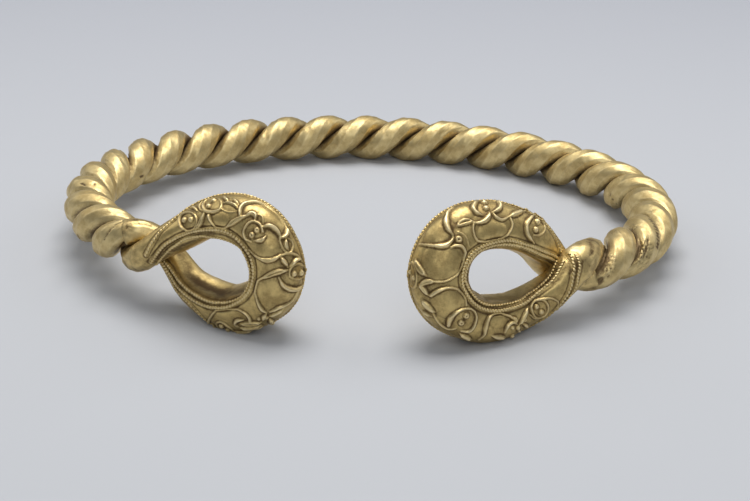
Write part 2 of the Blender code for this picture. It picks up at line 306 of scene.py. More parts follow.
# --- the surface of a loop ---
@dataclass
class LoopSurface:
    """The even ground of a cast loop, before any ornament, as a function of station and angle."""

    shape: LoopShape
    spine: Spine
    seam: float = 0.009
    stub_thickness: float = 0.0071
    crossing_reach: float = 0.35
    soften_reach: float = 0.25
    inner_squareness: float = 3.0
    inner_share: float = 0.18
    growth_span: float = 0.6
    samples: int = 1300
    limb_samples: int = 1200
    stub_samples: int = 80

    def __post_init__(self) -> None:
        """Work out the middle line and the section axes at even stations."""
        points, facing, share = self.limb_line()
        distance = running_length(points)
        self.length = distance[-1]
        self.stations = np.linspace(0.0, self.length, self.samples)
        tangent = unit(read_rows(self.stations, distance, unit(np.gradient(points, axis=0))))
        facing = read_rows(self.stations, distance, facing)
        away = unit(np.cross(facing, tangent))
        turning = self.spine.hoop.turning().T
        self.middle = self.spine.hoop.to_rest(read_rows(self.stations, distance, points))
        self.away = away @ turning
        self.outward = np.cross(tangent, away) @ turning
        share = np.interp(self.stations, distance, share)
        self.widths = self.shape.size_at(self.shape.widths, share)
        self.depths = self.shape.size_at(self.shape.depths, share)

    def limb_line(self) -> tuple[Array, Array, Array]:
        """Middle line of the loop from seam to seam.

        It comes in along the rod in front at the crossing, goes round the eye and leaves along
        the other rod.

        Returns:
            The points, the outward axis at each, and each point's share of the way round, which
            stays at 0 and 1 on the two stubs.
        """
        shape, spine, offset = self.shape, self.spine, self.spine.rod_offset
        around = np.linspace(0.0, 2.0 * pi, self.limb_samples)
        first = around <= pi
        reach = 0.5 * shape.length * (1.0 - np.cos(around))
        fullness = np.where(first, shape.first_fullness, shape.second_fullness)
        height = np.where(first, shape.first_height, shape.second_height)
        swing = np.sin(around) * np.abs(np.sin(around / 2.0)) ** fullness * height
        twist_rate = pi * spine.half_turns / spine.length
        straight = np.where(first, 1.0, -1.0) * offset * twist_rate * reach
        leaving = smooth_step(reach / (self.soften_reach * shape.length))
        across = straight + (swing - straight) * leaving
        closing = np.clip(reach / (self.crossing_reach * shape.length), 0.0, 1.0)
        outward = np.where(first, 0.5, -0.5) * offset * (1.0 + np.cos(pi * closing))

        stub = np.linspace(-self.seam, 0.0, self.stub_samples)[:-1]
        stub_across, stub_outward = offset * np.sin(twist_rate * stub), offset * np.cos(twist_rate * stub)
        reach = np.concatenate([stub, reach, stub[::-1]])
        across = np.concatenate([stub_across, across, -stub_across[::-1]])
        outward = np.concatenate([stub_outward, outward, -stub_outward[::-1]])
        share = np.concatenate([np.zeros(len(stub)), around / (2.0 * pi), np.ones(len(stub))])

        fade = smooth_step((reach + self.seam) / (2.0 * self.seam))
        lean, turn = shape.lean * fade, shape.turn * fade
        ahead = np.maximum(reach, 0.0)
        turned_along = ahead * np.cos(turn) - across * np.sin(turn)
        turned_across = ahead * np.sin(turn) + across * np.cos(turn)
        leaned_across = turned_across * np.cos(lean) - outward * np.sin(lean)
        leaned_outward = turned_across * np.sin(lean) + outward * np.cos(lean)

        behind = np.maximum(-reach, 0.0)
        origin, spine_outward, _ = spine.at(behind if shape.side < 0 else spine.length - behind)
        cross_axis = spine.frames[shape.side].across
        spine_along = np.cross(np.tile(cross_axis, (len(reach), 1)), spine_outward)
        points = (origin + turned_along[:, None] * spine_along
                  + leaned_across[:, None] * cross_axis + leaned_outward[:, None] * spine_outward)
        facing = -np.sin(lean)[:, None] * cross_axis + np.cos(lean)[:, None] * spine_outward
        return points, facing, share

    def at(self, station: Array, angle: Array) -> Array:
        """Points of the ground.

        Args:
            station: millimetres along the middle line.
            angle: degrees round the section; it broadcasts with station.

        Returns:
            One point for each pair.
        """
        place = station * MM
        width = np.interp(place, self.stations, self.widths)
        depth = np.interp(place, self.stations, self.depths)
        growth = rise(depth / self.stub_thickness, 1.0, self.growth_span)
        middle = -self.inner_share * width * growth
        cosine, sine = np.cos(np.radians(angle)), np.sin(np.radians(angle))
        power = np.where(cosine < 0.0, 2.0 + self.inner_squareness * growth, 2.0)
        radius = (np.abs(cosine) ** power + np.abs(sine) ** power) ** (-1.0 / power)
        half = np.where(cosine < 0.0, 0.5 * width + middle, 0.5 * width - middle)
        away = middle + half * radius * cosine
        out = 0.5 * depth * radius * sine
        return (read_rows(place, self.stations, self.middle)
                + away[..., None] * read_rows(place, self.stations, self.away)
                + out[..., None] * read_rows(place, self.stations, self.outward))

    def facing_at(self, station: Array, angle: Array, nudge: float = 0.2) -> Array:
        """Outward normals of the ground at each pair of station and angle.

        Args:
            station: millimetres along the middle line.
            angle: degrees round the section.
            nudge: how far to look on either side, in millimetres and in degrees.

        Returns:
            A unit vector for each pair.
        """
        along = self.at(station + nudge, angle) - self.at(station - nudge, angle)
        round_it = self.at(station, angle + nudge) - self.at(station, angle - nudge)
        normal = unit(np.cross(along, round_it))
        place = station * MM
        outside = self.at(station, angle) - read_rows(place, self.stations, self.middle)
        return normal * np.sign(np.sum(normal * outside, axis=-1, keepdims=True))


# --- ornament ---
BULGE_POWER = 2.0
LEAF_TIP = 0.25
LEAF_SHOULDER = 0.8
LEAF_HEIGHT = 0.55


@dataclass(frozen=True)
class Tendril:
    """A raised line: places along it, and widths in millimetres spread evenly over its length."""

    path: Path
    widths: tuple[float, ...] = (0.7,)
    height: float = 0.50
    slit: float = 0.0
    closed: bool = False


@dataclass(frozen=True)
class Pellet:
    """A round boss, in millimetres, with a dimple on top where it is ringed."""

    at: Place
    radius: float = 0.85
    ringed: bool = False


@dataclass(frozen=True)
class Swelling:
    """A smooth cushion of ground; its reach is in station millimetres and degrees."""

    at: Place
    reach: Place
    height: float = 0.45
    power: float = 0.8


def bulge(at: Place, reach: Place, height: float) -> Swelling:
    """A long soft swelling, or a hollow where its height is negative, that gives a loop its lie."""
    return Swelling(at, reach, height, power=BULGE_POWER)


def leaf(root: Place, middle: Place, tip: Place, width: float, slit: float = 0.0) -> Tendril:
    """A pointed leaf from its root to its tip, over its middle."""
    shoulder = LEAF_SHOULDER * width
    return Tendril((root, middle, tip), (LEAF_TIP, shoulder, width, shoulder, LEAF_TIP), LEAF_HEIGHT, slit)


@dataclass(frozen=True)
class Ornament:
    """All that is raised on one loop, and the lines of its cable borders."""

    tendrils: tuple[Tendril, ...] = ()
    pellets: tuple[Pellet, ...] = ()
    swellings: tuple[Swelling, ...] = ()
    inner_borders: tuple[Path, ...] = ()
    outer_borders: tuple[Path, ...] = ()
    cords: tuple[Path, ...] = ()
    cracks: tuple[Path, ...] = ()
    fine_lines: tuple[Path, ...] = ()


# A raised line has its path, its widths, its height and its slit, a leaf its root, middle, tip,
# width and slit.
LEFT_ORNAMENT = Ornament(
    tendrils=(
        # roundel next to the crossing, with its trumpet stem and wing
        Tendril(((36, 72), (35.2, 54), (32.7, 39), (30, 36), (29, 53), (29.9, 74), (31.8, 88),
                 (34.5, 86)), (0.7, 0.6, 0.6, 0.9, 1.1, 1.0, 0.8, 0.8), closed=True),
        Tendril(((34.6, 90), (36.9, 81), (38.3, 66), (38.9, 53)), (0.4, 1.3, 1.6, 1.0, 0.7), 0.55, 0.25),
        leaf((32.4, 22), (34.6, 33), (36.2, 48), 1.0),
        Tendril(((36, 14), (36.2, 30), (37.1, 44), (38.9, 53)), (0.6, 0.8, 0.8, 0.7)),
        # second roundel and the leaves beyond it
        Tendril(((43.3, 41), (41.8, 22), (39.4, 10), (37.4, 15), (37.7, 35), (39.2, 52), (41.4, 57),
                 (43.1, 52)), (0.7, 0.7, 0.6, 0.7, 0.8, 1.2, 1.3, 1.0), closed=True),
        Tendril(((43, 36), (44.6, 32), (46.4, 35), (48, 43)), (0.6, 1.0, 1.1, 0.5)),
        Tendril(((43.3, 48), (45.2, 54), (46.9, 52), (48, 44)), (0.4, 0.5, 0.4), 0.35),
        leaf((41.8, 12), (43.4, 21), (44.8, 32), 1.3),
        leaf((44.6, 17), (46.2, 25), (47.5, 36), 1.2, 0.2),
        # hanging tendril that opens as a trumpet and ends in a curled head
        Tendril(((40.4, 65), (41.1, 79), (42.5, 91), (44.6, 94), (46.5, 86)), (1.2, 0.8, 0.7, 0.7, 0.8)),
        Tendril(((46.5, 86), (47.9, 73), (49.2, 59), (50.2, 47)), (0.7, 1.6, 1.4, 0.8), 0.55, 0.3),
        Tendril(((50.2, 47), (50.6, 38), (51.6, 37), (52.3, 45)), (0.8, 1.4, 1.4, 0.5), 0.6),
        # great crescent on the outer side
        Tendril(((48.9, 52), (48.2, 40), (48.2, 26), (49.2, 11), (50.9, 1), (53.2, -4), (55.4, -5),
                 (57, 0)), (1.0, 1.5, 1.5, 1.0, 0.6, 0.5, 0.5, 0.5), 0.6),
        Tendril(((56.8, -1), (57.8, 8), (58.1, 18), (57.9, 29)), (0.5, 1.7, 1.1, 0.6), 0.62),
        Tendril(((51.2, 34), (52.7, 30), (53.9, 39)), (0.4, 0.5, 0.4), 0.35),
        # ringed roundel with its leaf and stem
        Tendril(((55.1, 49), (53.5, 44), (52, 49), (51.5, 62), (51.9, 77), (53.7, 85), (55.3, 80)),
                (1.0, 0.9, 0.8, 0.8, 0.8, 0.9, 0.5)),
        leaf((56.2, 48), (56.5, 61), (55.5, 74), 1.3, 0.25),
        Tendril(((54.3, 44), (54.9, 33), (56, 27), (57.4, 25), (58.2, 29)),
                (0.7, 1.3, 1.5, 1.1, 0.6), 0.6),
        # shield leaf
        Tendril(((58, 28), (59.6, 31), (61, 26), (61.2, 16), (60.2, 6), (58.9, 9)), (0.6,),
                closed=True),
        leaf((58.5, 16), (59.7, 23), (60.8, 21), 1.4, 0.2),
        # line under the roundel, up to the petals
        Tendril(((56.8, 98), (59.4, 87), (61, 74), (61.6, 60), (61.4, 48), (61.1, 40)),
                (0.6, 0.7, 0.9, 1.5, 1.3, 0.7), 0.52, 0.22),
        Tendril(((61.2, 39), (61.3, 22), (62.4, 4), (64, -9)), (0.7, 0.7, 0.9, 0.5)),
        leaf((61.4, 41), (62.6, 36), (63.9, 30), 1.4),
        leaf((63.4, -5), (63, 10), (63.9, 26), 1.3),
        # cluster of two pellets in a ring over a broad crescent
        Tendril(((65.8, -18), (64.6, -8), (63.9, 6), (63.9, 18), (64.6, 27), (65.9, 27), (66.7, 10),
                 (66.8, -8)), (0.55,), closed=True),
        Tendril(((65.7, 50), (67.5, 41), (68.5, 24), (68.7, 4), (68.3, -12)),
                (0.4, 1.2, 1.6, 1.1, 0.4), 0.6),
        # bounding line of the round panel
        Tendril(((64.5, 32), (64.5, 46), (64.9, 62), (66.1, 80)), (0.6, 1.8, 1.6, 0.8), 0.52, 0.3),
        Tendril(((66.1, 80), (67.3, 89), (69.2, 94), (71.2, 92), (72.8, 84), (74.2, 73), (75.1, 61),
                 (75.3, 50)), (0.8, 0.7, 0.6, 0.6, 0.7, 1.0, 1.2, 0.7)),
        Tendril(((69.1, 4), (71.2, 12), (72.2, 26), (73, 36), (74.7, 45)), (0.5, 0.6, 0.9, 1.4, 0.7)),
        leaf((73, 22), (74.6, 32), (76.2, 40), 1.3),
        leaf((76.6, 33), (77.4, 23), (78.3, 12), 1.5),
        leaf((75.4, 48), (76.6, 47), (77.8, 42), 1.3),
        # lower panel with its leaves and roundel
        Tendril(((80.2, 54), (79.5, 66), (80, 80), (82.4, 95), (86, 101), (89, 93), (90.8, 79),
                 (92.2, 60), (93.2, 42)), (1.1, 0.9, 0.7, 0.6, 0.6, 0.7, 0.8, 0.8, 1.0)),
        Tendril(((84, 50), (84.3, 60), (83, 67), (81.4, 64)), (0.5, 1.1, 1.2, 0.5), 0.55),
        leaf((83, 58), (80.9, 51), (78.4, 39), 1.9, 0.3),
        leaf((84, 48), (81.8, 39), (79.2, 32), 1.7),
        leaf((86.8, 36), (84.6, 29), (82, 26), 1.5),
        leaf((79.2, 24), (80.4, 30), (81.8, 33), 1.1),
        Tendril(((86.4, 44), (87.3, 30), (89.2, 26), (90.4, 40), (90, 56), (88, 62)), (0.65,),
                closed=True),
        leaf((90.8, 22), (91.6, 34), (91.9, 48), 1.2),
    ),
    pellets=(
        Pellet((31.2, 57)), Pellet((33.8, 63)), Pellet((40.3, 25)), Pellet((39.6, 41)),
        Pellet((54.1, 56), 0.8, True), Pellet((54.1, 70), 0.8, True),
        Pellet((65.5, 19), 0.8), Pellet((65.8, 0), 0.8), Pellet((76.5, 42), 0.7),
        Pellet((78.6, 6), 0.8), Pellet((87.9, 37), 0.75), Pellet((88.9, 49), 0.75),
        Pellet((77.9, 50), 0.55), Pellet((50.5, 43), 0.45),
    ),
    swellings=(
        Swelling((53.2, 17), (4.4, 23), 0.6), Swelling((70, 50), (4.4, 38), 0.5),
        Swelling((44.2, 72), (2.6, 18), 0.3), Swelling((24, 66), (5, 26), 0.35),
        Swelling((58.8, 60), (2.2, 26), 0.3), Swelling((85.4, 78), (4.6, 20), 0.35),
        bulge((70, -22), (17.5, 80), 0.58), bulge((44, 168), (18, 78), 1.4),
        bulge((28, 172), (20, 80), 1.8), bulge((84, 208), (10.5, 84), 1.9),
        bulge((88.5, 28), (17, 60), 1.0), bulge((103, 228), (19, 62), 0.65),
        bulge((47, -18), (19, 74), -0.52),
    ),
    inner_borders=(
        ((13.6, 140), (16.5, 126), (20, 108), (24.5, 95), (29, 94), (34, 98), (40, 103), (46, 104),
         (54, 110), (60, 106), (66, 111), (74, 115), (81, 117), (86, 110), (90, 105), (94, 98),
         (100, 93), (107, 91), (112.5, 86), (115.5, 82)),
        ((13.5, 168), (16, 150), (20, 130), (24.5, 121), (29, 116), (34, 121), (39, 127), (46, 130),
         (54, 129), (62, 124), (67, 124), (73, 127), (79, 130), (84, 129), (88, 128), (92, 125),
         (99, 125), (104, 124), (110, 112), (113.5, 100))),
    outer_borders=(
        ((14.2, 101), (16.2, 84), (18.4, 67), (20.6, 51), (23, 40), (26, 30), (29.5, 17), (33, 6),
         (37, -2), (42, -7), (48, -11), (54, -15), (60, -17), (66, -17), (72, -13), (78, -6),
         (84, 4), (89, 20), (93, 37), (96, 54), (99, 66), (104, 72), (109, 74), (114, 75)),),
    fine_lines=(((15.4, 127), (20, 102), (24, 89), (30, 87), (36, 91), (42, 95), (48, 96)),),
    cracks=(((129.9, 112), (129.2, 122), (128.4, 137), (127.2, 150), (125.6, 161), (124.2, 168)),),
)

RIGHT_ORNAMENT = Ornament(
    tendrils=(
        # roundel next to the crossing, with its pointed wing and leaf
        Tendril(((23.4, 68), (23.1, 92), (24.2, 112), (26.9, 110), (29.2, 88), (28.7, 68), (26.6, 50),
                 (24.8, 49)), (0.7, 0.8, 0.9, 0.9, 1.1, 0.9, 0.6, 0.6), closed=True),
        Tendril(((24.8, 118), (21.9, 100), (20.7, 80), (20.6, 62), (21.6, 49)), (0.6, 0.8, 0.6, 0.5, 0.4)),
        Tendril(((25.8, 47), (28.4, 57), (30.4, 74)), (0.4, 0.8, 0.5)),
        leaf((34.6, 61), (32.7, 76), (30.5, 97), 1.6),
        # petals and pellets at the bottom
        Tendril(((38.8, 55), (38.3, 69), (36.6, 75), (35, 66)), (0.6, 1.2, 1.2, 0.5), 0.6),
        leaf((31, 37), (31.8, 48), (33.1, 61), 1.2),
        leaf((33.4, 36), (34, 43), (34.9, 51), 0.9),
        # rising curve with its trumpet, and the leaf beneath
        Tendril(((45, 37), (44.5, 52), (44.8, 68), (44.7, 87), (43.2, 103), (41, 109), (39, 101),
                 (37.4, 90), (36.2, 82)), (0.5, 0.9, 1.5, 1.4, 0.9, 0.7, 0.7, 0.9, 1.0)),
        leaf((37, 86), (35.7, 80), (35.2, 69), 1.4, 0.2),
        leaf((42.4, 51), (40.4, 47), (38, 40), 1.6),
        # great roundel that starts as a trumpet
        Tendril(((53, 40), (54.1, 53), (54.5, 68), (53.5, 82), (51.2, 91), (49, 85), (48.1, 68),
                 (48.4, 52), (50, 44)), (1.3, 1.8, 1.2, 0.8, 0.7, 0.8, 0.9, 0.9, 0.6), 0.58),
        # round panel
        Tendril(((60.5, 43), (61.2, 57), (61.4, 73), (60.5, 86), (58.2, 98), (55.5, 100), (53.7, 89)),
                (1.2, 1.3, 0.9, 0.8, 0.7, 0.7, 0.6)),
        Tendril(((57.6, 33), (56, 30), (54.4, 27), (52.8, 28), (51.8, 34), (51.3, 43)),
                (0.5, 0.7, 0.8, 0.9, 0.8, 0.5)),
        leaf((60, 22), (58.3, 29), (56.8, 37), 2.2),
        leaf((57.8, 8), (57, 16), (56.1, 24), 1.3),
        leaf((49.8, 37), (48.2, 36), (46.4, 33), 1.7),
        leaf((62.7, 22), (61.8, 31), (60.4, 40), 1.5, 0.25),
        # bounding line of the oval panel, out of a leaf
        leaf((62.2, 22), (63.1, 38), (63.2, 55), 1.7, 0.3),
        Tendril(((63.2, 52), (63.1, 66), (63.8, 80), (65.8, 94), (69.3, 100), (72.4, 91), (73.3, 79),
                 (72.4, 69), (71.4, 64)), (0.7, 0.7, 0.7, 0.7, 0.7, 0.8, 1.1, 1.2, 0.7)),
        leaf((66.8, 8), (65.3, 24), (64.2, 39), 1.9, 0.35),
        Tendril(((66.2, 0), (65.4, 12), (64, 18), (62.6, 16), (61.9, 7), (62.1, -4), (63.5, -12),
                 (65.2, -10)), (0.55,), closed=True),
        # crossing curves between the smooth fields
        Tendril(((78.7, 2), (77.1, 12), (75.8, 23), (74.8, 34), (74.2, 44), (74, 56)),
                (0.6, 0.8, 1.2, 1.7, 1.6, 0.5), 0.6),
        Tendril(((69.4, 3), (69.6, 16), (69.9, 31), (70.4, 45), (71.2, 55), (72.4, 59), (73.5, 58),
                 (74, 53)), (0.5, 0.7, 0.8, 1.0, 1.6, 1.6, 1.0, 0.4), 0.55),
        Tendril(((75.2, 57), (75.9, 67), (75.8, 78), (75, 88)), (0.5, 0.5, 0.4), 0.35),
        leaf((75.7, 48), (77.8, 50), (79.8, 57), 2.0, 0.38),
        # bounding line of the panel below the top roundel
        Tendril(((79.7, 58), (78.6, 69), (78.2, 84), (79.3, 98), (81.6, 107), (85.5, 108), (88.3, 96),
                 (89.9, 81), (90.4, 67), (89.6, 53)), (0.8, 0.8, 0.8, 0.7, 0.7, 0.7, 0.8, 0.8, 0.7)),
        # top roundel between two trumpets, and their stems
        Tendril(((83.8, 5), (82.2, 19), (81.2, 32), (81.3, 43), (82.4, 50)),
                (0.5, 1.2, 1.7, 1.4, 0.5), 0.6),
        Tendril(((87.4, 5), (87.8, 20), (87.4, 33), (86.4, 41), (85, 46)),
                (0.5, 1.2, 1.5, 1.3, 0.5), 0.6),
        Tendril(((84.3, 46), (83.6, 55), (82.4, 61), (80.8, 62), (79.5, 58)),
                (0.6, 1.6, 1.5, 1.0, 0.5), 0.58),
        Tendril(((85, 46), (85.6, 56), (87, 61), (88.4, 57), (89.6, 50)), (0.6, 1.1, 1.0, 0.8, 0.4)),
        leaf((89.3, 53), (91.5, 41), (94, 26), 1.8),
        Tendril(((93.8, 27), (95.8, 15), (98.4, 9), (101, 13), (102.4, 26)), (0.6, 0.6, 0.6, 0.4)),
        # last roundel
        Tendril(((97.6, 20), (95.9, 38), (94.8, 57), (95.4, 73), (97.2, 82), (99.2, 86)),
                (0.5, 1.1, 1.5, 1.4, 1.1, 0.4), 0.58),
        Tendril(((99.3, 16), (100.5, 32), (100.5, 50), (99.4, 65), (98, 71)), (0.6, 0.6, 0.6, 0.4)),
    ),
    pellets=(
        Pellet((26.5, 87)), Pellet((25.5, 68)), Pellet((34.6, 56), 0.75), Pellet((32.4, 68), 0.7),
        Pellet((36.4, 61), 0.6), Pellet((35.9, 35), 0.75), Pellet((51.6, 75), 0.85, True),
        Pellet((51.4, 59), 0.85, True), Pellet((64.4, -4), 0.65), Pellet((74.1, 67), 1.0, True),
        Pellet((83.9, 35)), Pellet((84.4, 18)), Pellet((98.3, 37)), Pellet((98.1, 58)),
        Pellet((63.6, 10), 0.6),
    ),
    swellings=(
        Swelling((57.6, 62), (3.6, 28), 0.5), Swelling((67.6, 60), (4.6, 36), 0.55),
        Swelling((73, 27), (3.4, 26), 0.6), Swelling((78.6, 27), (3, 24), 0.55),
        Swelling((84.3, 82), (4.8, 22), 0.4), Swelling((105, 62), (5, 30), 0.35),
        Swelling((41, 76), (3, 22), 0.35), Swelling((91.5, 20), (3, 16), 0.3),
        bulge((101, 5), (22, 84), 1.02), bulge((112.5, 198), (10.5, 80), 1.5),
        bulge((42, 208), (16, 84), 1.25), bulge((50, 205), (15, 86), 1.8),
        bulge((36, 214), (17, 80), 0.45), bulge((42, 34), (13.5, 48), 0.95),
        bulge((45.5, 212), (9, 80), 2.3),
        bulge((10.4, 225), (10.4, 140), 2.25), bulge((20, 225), (12, 68), 0.8),
        bulge((54.5, 180), (12, 60), 1.6), bulge((84, 150), (19, 46), 0.45),
        bulge((55, -20), (12, 68), -0.38),
    ),
    inner_borders=(
        ((13.2, 168), (17.5, 148), (23, 138), (27, 126), (31, 121), (38, 120), (43, 116), (48, 113),
         (56, 112), (62, 107), (67, 108), (73, 111), (80.5, 117), (85, 116), (91, 107), (96, 105),
         (100, 97), (104.5, 90), (109, 85), (113.5, 80)),
        ((14, 190), (17.5, 168), (22.5, 153), (27, 143), (32, 137), (40, 136), (47, 130),
         (54.7, 127), (59.6, 122), (63, 117), (68, 118), (76, 123), (82, 127), (90, 122), (97, 116),
         (102, 112), (106.5, 103), (112, 93))),
    outer_borders=(
        ((10.4, 174), (11.2, 153), (12.4, 131), (13.8, 108), (15.4, 87), (17.7, 67), (20, 54), (22.5, 39),
         (26, 23), (31, 9), (37, 0), (44, -7), (52, -10), (60, -14), (66, -13), (72, -10), (80, -8),
         (86, 1), (91, 11), (97, 19), (100, 22), (103, 30), (106, 41), (108.5, 54), (110.5, 69),
         (112, 85), (113.2, 102), (114.3, 117)),),
    cords=(
        ((9.7, 161), (10.5, 137), (11.4, 117), (12.7, 97), (14.2, 74), (16, 59), (18.2, 47), (21.5, 34)),
        ((98.5, 8), (100.5, 11), (103, 17), (106, 28), (108.8, 42), (110.9, 57), (112.6, 73), (113.6, 86))),
    fine_lines=(((92, 12), (98, 17), (103, 25), (106.5, 36), (109, 54), (110.6, 74)),),
)


BACK_ORNAMENT = Ornament(
    outer_borders=(((18, -72), (26, -84), (36, -92), (48, -97), (62, -99), (76, -97), (88, -92), (98, -84),
                    (107, -72)),))


@dataclass(frozen=True)
class Relief:
    """How raised lines and bosses are rounded, in millimetres or in shares of their own sizes."""

    line_pieces: int = 9
    line_breadth: float = 0.45
    line_power: float = 1.2
    line_rise: float = 1.35
    full_half_width: float = 0.42
    least_rise: float = 0.70
    most_rise: float = 1.20
    back_power: float = 0.72
    slit_depth: float = 1.7
    slit_from: float = 0.38
    slit_span: float = 0.3
    slit_width: float = 0.28
    fine_widths: tuple[float, ...] = (0.55,)
    fine_rise: float = 0.35
    boss_line: float = 0.02
    boss_margin: float = 1.4
    boss_rise: float = 1.05
    boss_sink: float = 0.10
    dimple_depth: float = 0.75
    dimple_width: float = 0.34

    def of_tendril(self, line: Tendril, gap: Array, share: Array) -> Array:
        """Height of a raised line with a rounded back, slit where it is wide.

        Args:
            line: the raised line.
            gap: millimetres from the line's middle.
            share: share of the way along it.

        Returns:
            Millimetres above the ground.
        """
        widths = np.array(line.widths + (line.widths[0],) * line.closed)
        width = np.interp(share, np.linspace(0.0, 1.0, len(widths)), widths)
        half = self.line_breadth * width ** self.line_power
        ratio = np.clip(gap / half, 0.0, 1.0)
        full = (self.line_rise * line.height
                * np.clip(half / self.full_half_width, self.least_rise, self.most_rise))
        heights = full * (1.0 - ratio ** 2) ** self.back_power
        groove = (self.slit_depth * line.slit * rise(half, self.slit_from, self.slit_span)
                  * np.exp(-(ratio / self.slit_width) ** 2))
        return np.where(ratio < 1.0, heights - groove, 0.0)

    def of_pellet(self, boss: Pellet, gap: Array) -> Array:
        """Height of a boss at each gap from its middle, all in millimetres.

        Args:
            boss: the boss.
            gap: millimetres from its middle.

        Returns:
            Millimetres above the ground.
        """
        ratio = np.clip(gap / boss.radius, 0.0, 1.0)
        heights = self.boss_rise * boss.radius * np.sqrt(1.0 - ratio ** 2) - self.boss_sink * boss.radius
        if boss.ringed:
            heights = heights - self.dimple_depth * boss.radius * np.exp(-(ratio / self.dimple_width) ** 2)
        return np.where(ratio < 1.0, heights, 0.0)


@dataclass(frozen=True)
class PatinaAndPaintedLight:
    """How much dirt lies in the hollows of a loop, and how far its high places are worn."""

    channel_light_and_shade: float = 0.0
    even_dirt: float = 0.20
    narrow_passes: int = 4
    narrow_dirt_and_shade: float = 7.0
    broad_passes: int = 40
    broad_dirt_and_shade: float = 1.7
    groove_dirt_and_shade: float = 1.5
    bed_dirt_and_shade: float = 0.16
    stub_dirt: float = -0.10
    top_wear_and_highlight: float = 2.6
    wear_and_highlight_from: float = 0.12
    stub_wear: float = 0.20


@dataclass
class LoopGrid:
    """The fine grid of points that a loop's surface and its ornament are worked out on.

    Lengths are in millimetres and angles in degrees.  A reach is measured from a seam, a fade is
    the length over which something comes or goes, and a degree is what one degree spans in front
    and inside.  What shapes a band and its two grooves, apart from a depth, is in shares of the
    band's half width.
    """

    surface: LoopSurface
    patina_and_painted_light: PatinaAndPaintedLight
    relief: Relief = Relief()
    fine_step: float = 0.156
    stub_step: float = 0.55
    stub_reach: float = 9.0
    panel: Place = (-25.0, 128.0)
    panel_columns: int = 98
    inner_columns: int = 14
    back_columns: int = 19
    back_end: float = 232.0
    angle_samples: int = 400
    front_degree: float = 0.06
    inner_degree: float = 0.03
    front_end: float = 90.0
    along_margin: float = 2.2
    kept_share: float = 0.4
    band_pieces: int = 8
    band_margin: float = 4.0
    bed_spread: Place = (2.0, 1.4)
    groove_place: float = 1.75
    groove_width: float = 0.55
    groove_depth: float = 0.16
    crack_half_width: float = 0.24
    crack_depth: float = 0.50
    breadth_reach: float = 10.0
    facet_reach: float = 7.0
    rod_fade: float = 8.0
    end_taper: float = 0.10
    taper_fade: float = 1.2
    hollow_reach: Place = (24.0, 20.0)
    hollow_fade: float = 14.0
    hollow_depth: float = 0.40
    channel_reach: float = 11.0
    channel_fade: float = 5.0

    def __post_init__(self) -> None:
        """Choose the stations and angles, closer together where there is ornament."""
        end = self.surface.length / MM
        first, last = self.stub_reach, end - self.stub_reach
        self.stations = np.concatenate([np.arange(0.0, first, self.stub_step),
                                        np.arange(first, last, self.fine_step),
                                        np.linspace(last, end, int(self.stub_reach / self.stub_step))])
        turn = self.back_end - 360.0
        self.angles = np.concatenate([
            self.even_angles(turn, self.panel[0], self.back_columns),
            self.even_angles(self.panel[0], self.panel[1], self.panel_columns),
            self.even_angles(self.panel[1], self.back_end, self.inner_columns)])
        self.ground = self.surface.at(*np.broadcast_arrays(self.stations[:, None], self.angles))
        self.facing = self.normals(self.ground)
        level = self.ground.shape[:2]
        self.height, self.grooves, self.beds = np.zeros(level), np.zeros(level), np.zeros(level)
        self.channel, self.stubs, self.taper = np.zeros(level), np.zeros(level), np.zeros(level)

    def even_angles(self, start: float, end: float, count: int) -> Array:
        """Angles that split a stretch of the middle section into equal lengths.

        Args:
            start: angle at which the stretch begins.
            end: angle at which it ends.
            count: how many angles, without the last.

        Returns:
            The angles in degrees.
        """
        angles = np.linspace(start, end, self.angle_samples)
        middle = np.full(self.angle_samples, 0.5 * self.surface.length / MM)
        length = running_length(self.surface.at(middle, angles))
        return np.interp(np.linspace(0.0, length[-1], count, endpoint=False), length, angles)

    def normals(self, points: Array) -> Array:
        """Outward unit normals of a grid of points that closes round each section.

        Args:
            points: one point for each station and angle.

        Returns:
            A unit vector for each point.
        """
        along = np.gradient(points, axis=0)
        round_it = np.roll(points, -1, axis=1) - np.roll(points, 1, axis=1)
        normal = unit(np.cross(along, round_it))
        outside = points - points.mean(axis=1, keepdims=True)
        return normal * np.sign(np.median(np.sum(normal * outside, axis=-1)))

    def near(self, places: Array, margin: float) -> GridPart:
        """The part of the grid about some places.

        Args:
            places: rows of station and angle.
            margin: in millimetres.

        Returns:
            Slices of the stations and of the angles.
        """
        in_front = places[:, 1].max() < self.front_end
        spread = margin / (self.front_degree if in_front else self.inner_degree)
        ahead = self.along_margin * margin
        low, high = places.min(axis=0), places.max(axis=0)
        rows = np.searchsorted(self.stations, [low[0] - ahead, high[0] + ahead])
        columns = np.searchsorted(self.angles, [low[1] - spread, high[1] + spread])
        return slice(*rows), slice(*columns)

    def distances(self, places: Array, margin: float) -> tuple[GridPart, Array, Array]:
        """Distance in millimetres from the grid points about a line to that line.

        Args:
            places: rows of station and angle, close together.
            margin: how far about the line, in millimetres.

        Returns:
            The part of the grid, the distances, and each point's share of the way along.
        """
        part = self.near(places, margin)
        line = self.surface.at(places[:, 0], places[:, 1])
        points = self.ground[part].reshape(-1, 3)
        nearest = np.full(len(points), np.inf)
        share = np.zeros(len(points))
        length = running_length(line)
        for start, end, from_length, step in zip(line, line[1:], length, np.diff(length)):
            way = end - start
            along = np.clip((points - start) @ way / max(way @ way, TINY), 0.0, 1.0)
            gap = np.linalg.norm(points - start - along[:, None] * way, axis=1)
            closer = gap < nearest
            nearest[closer] = gap[closer]
            share[closer] = from_length + along[closer] * step
        shape = self.ground[part].shape[:2]
        return part, nearest.reshape(shape) / MM, (share / length[-1]).reshape(shape)

    def raise_to(self, part: GridPart, heights: Array) -> None:
        """Lift the grid to these heights above the swollen ground where they are higher."""
        self.height[part] = np.maximum(self.height[part], heights)

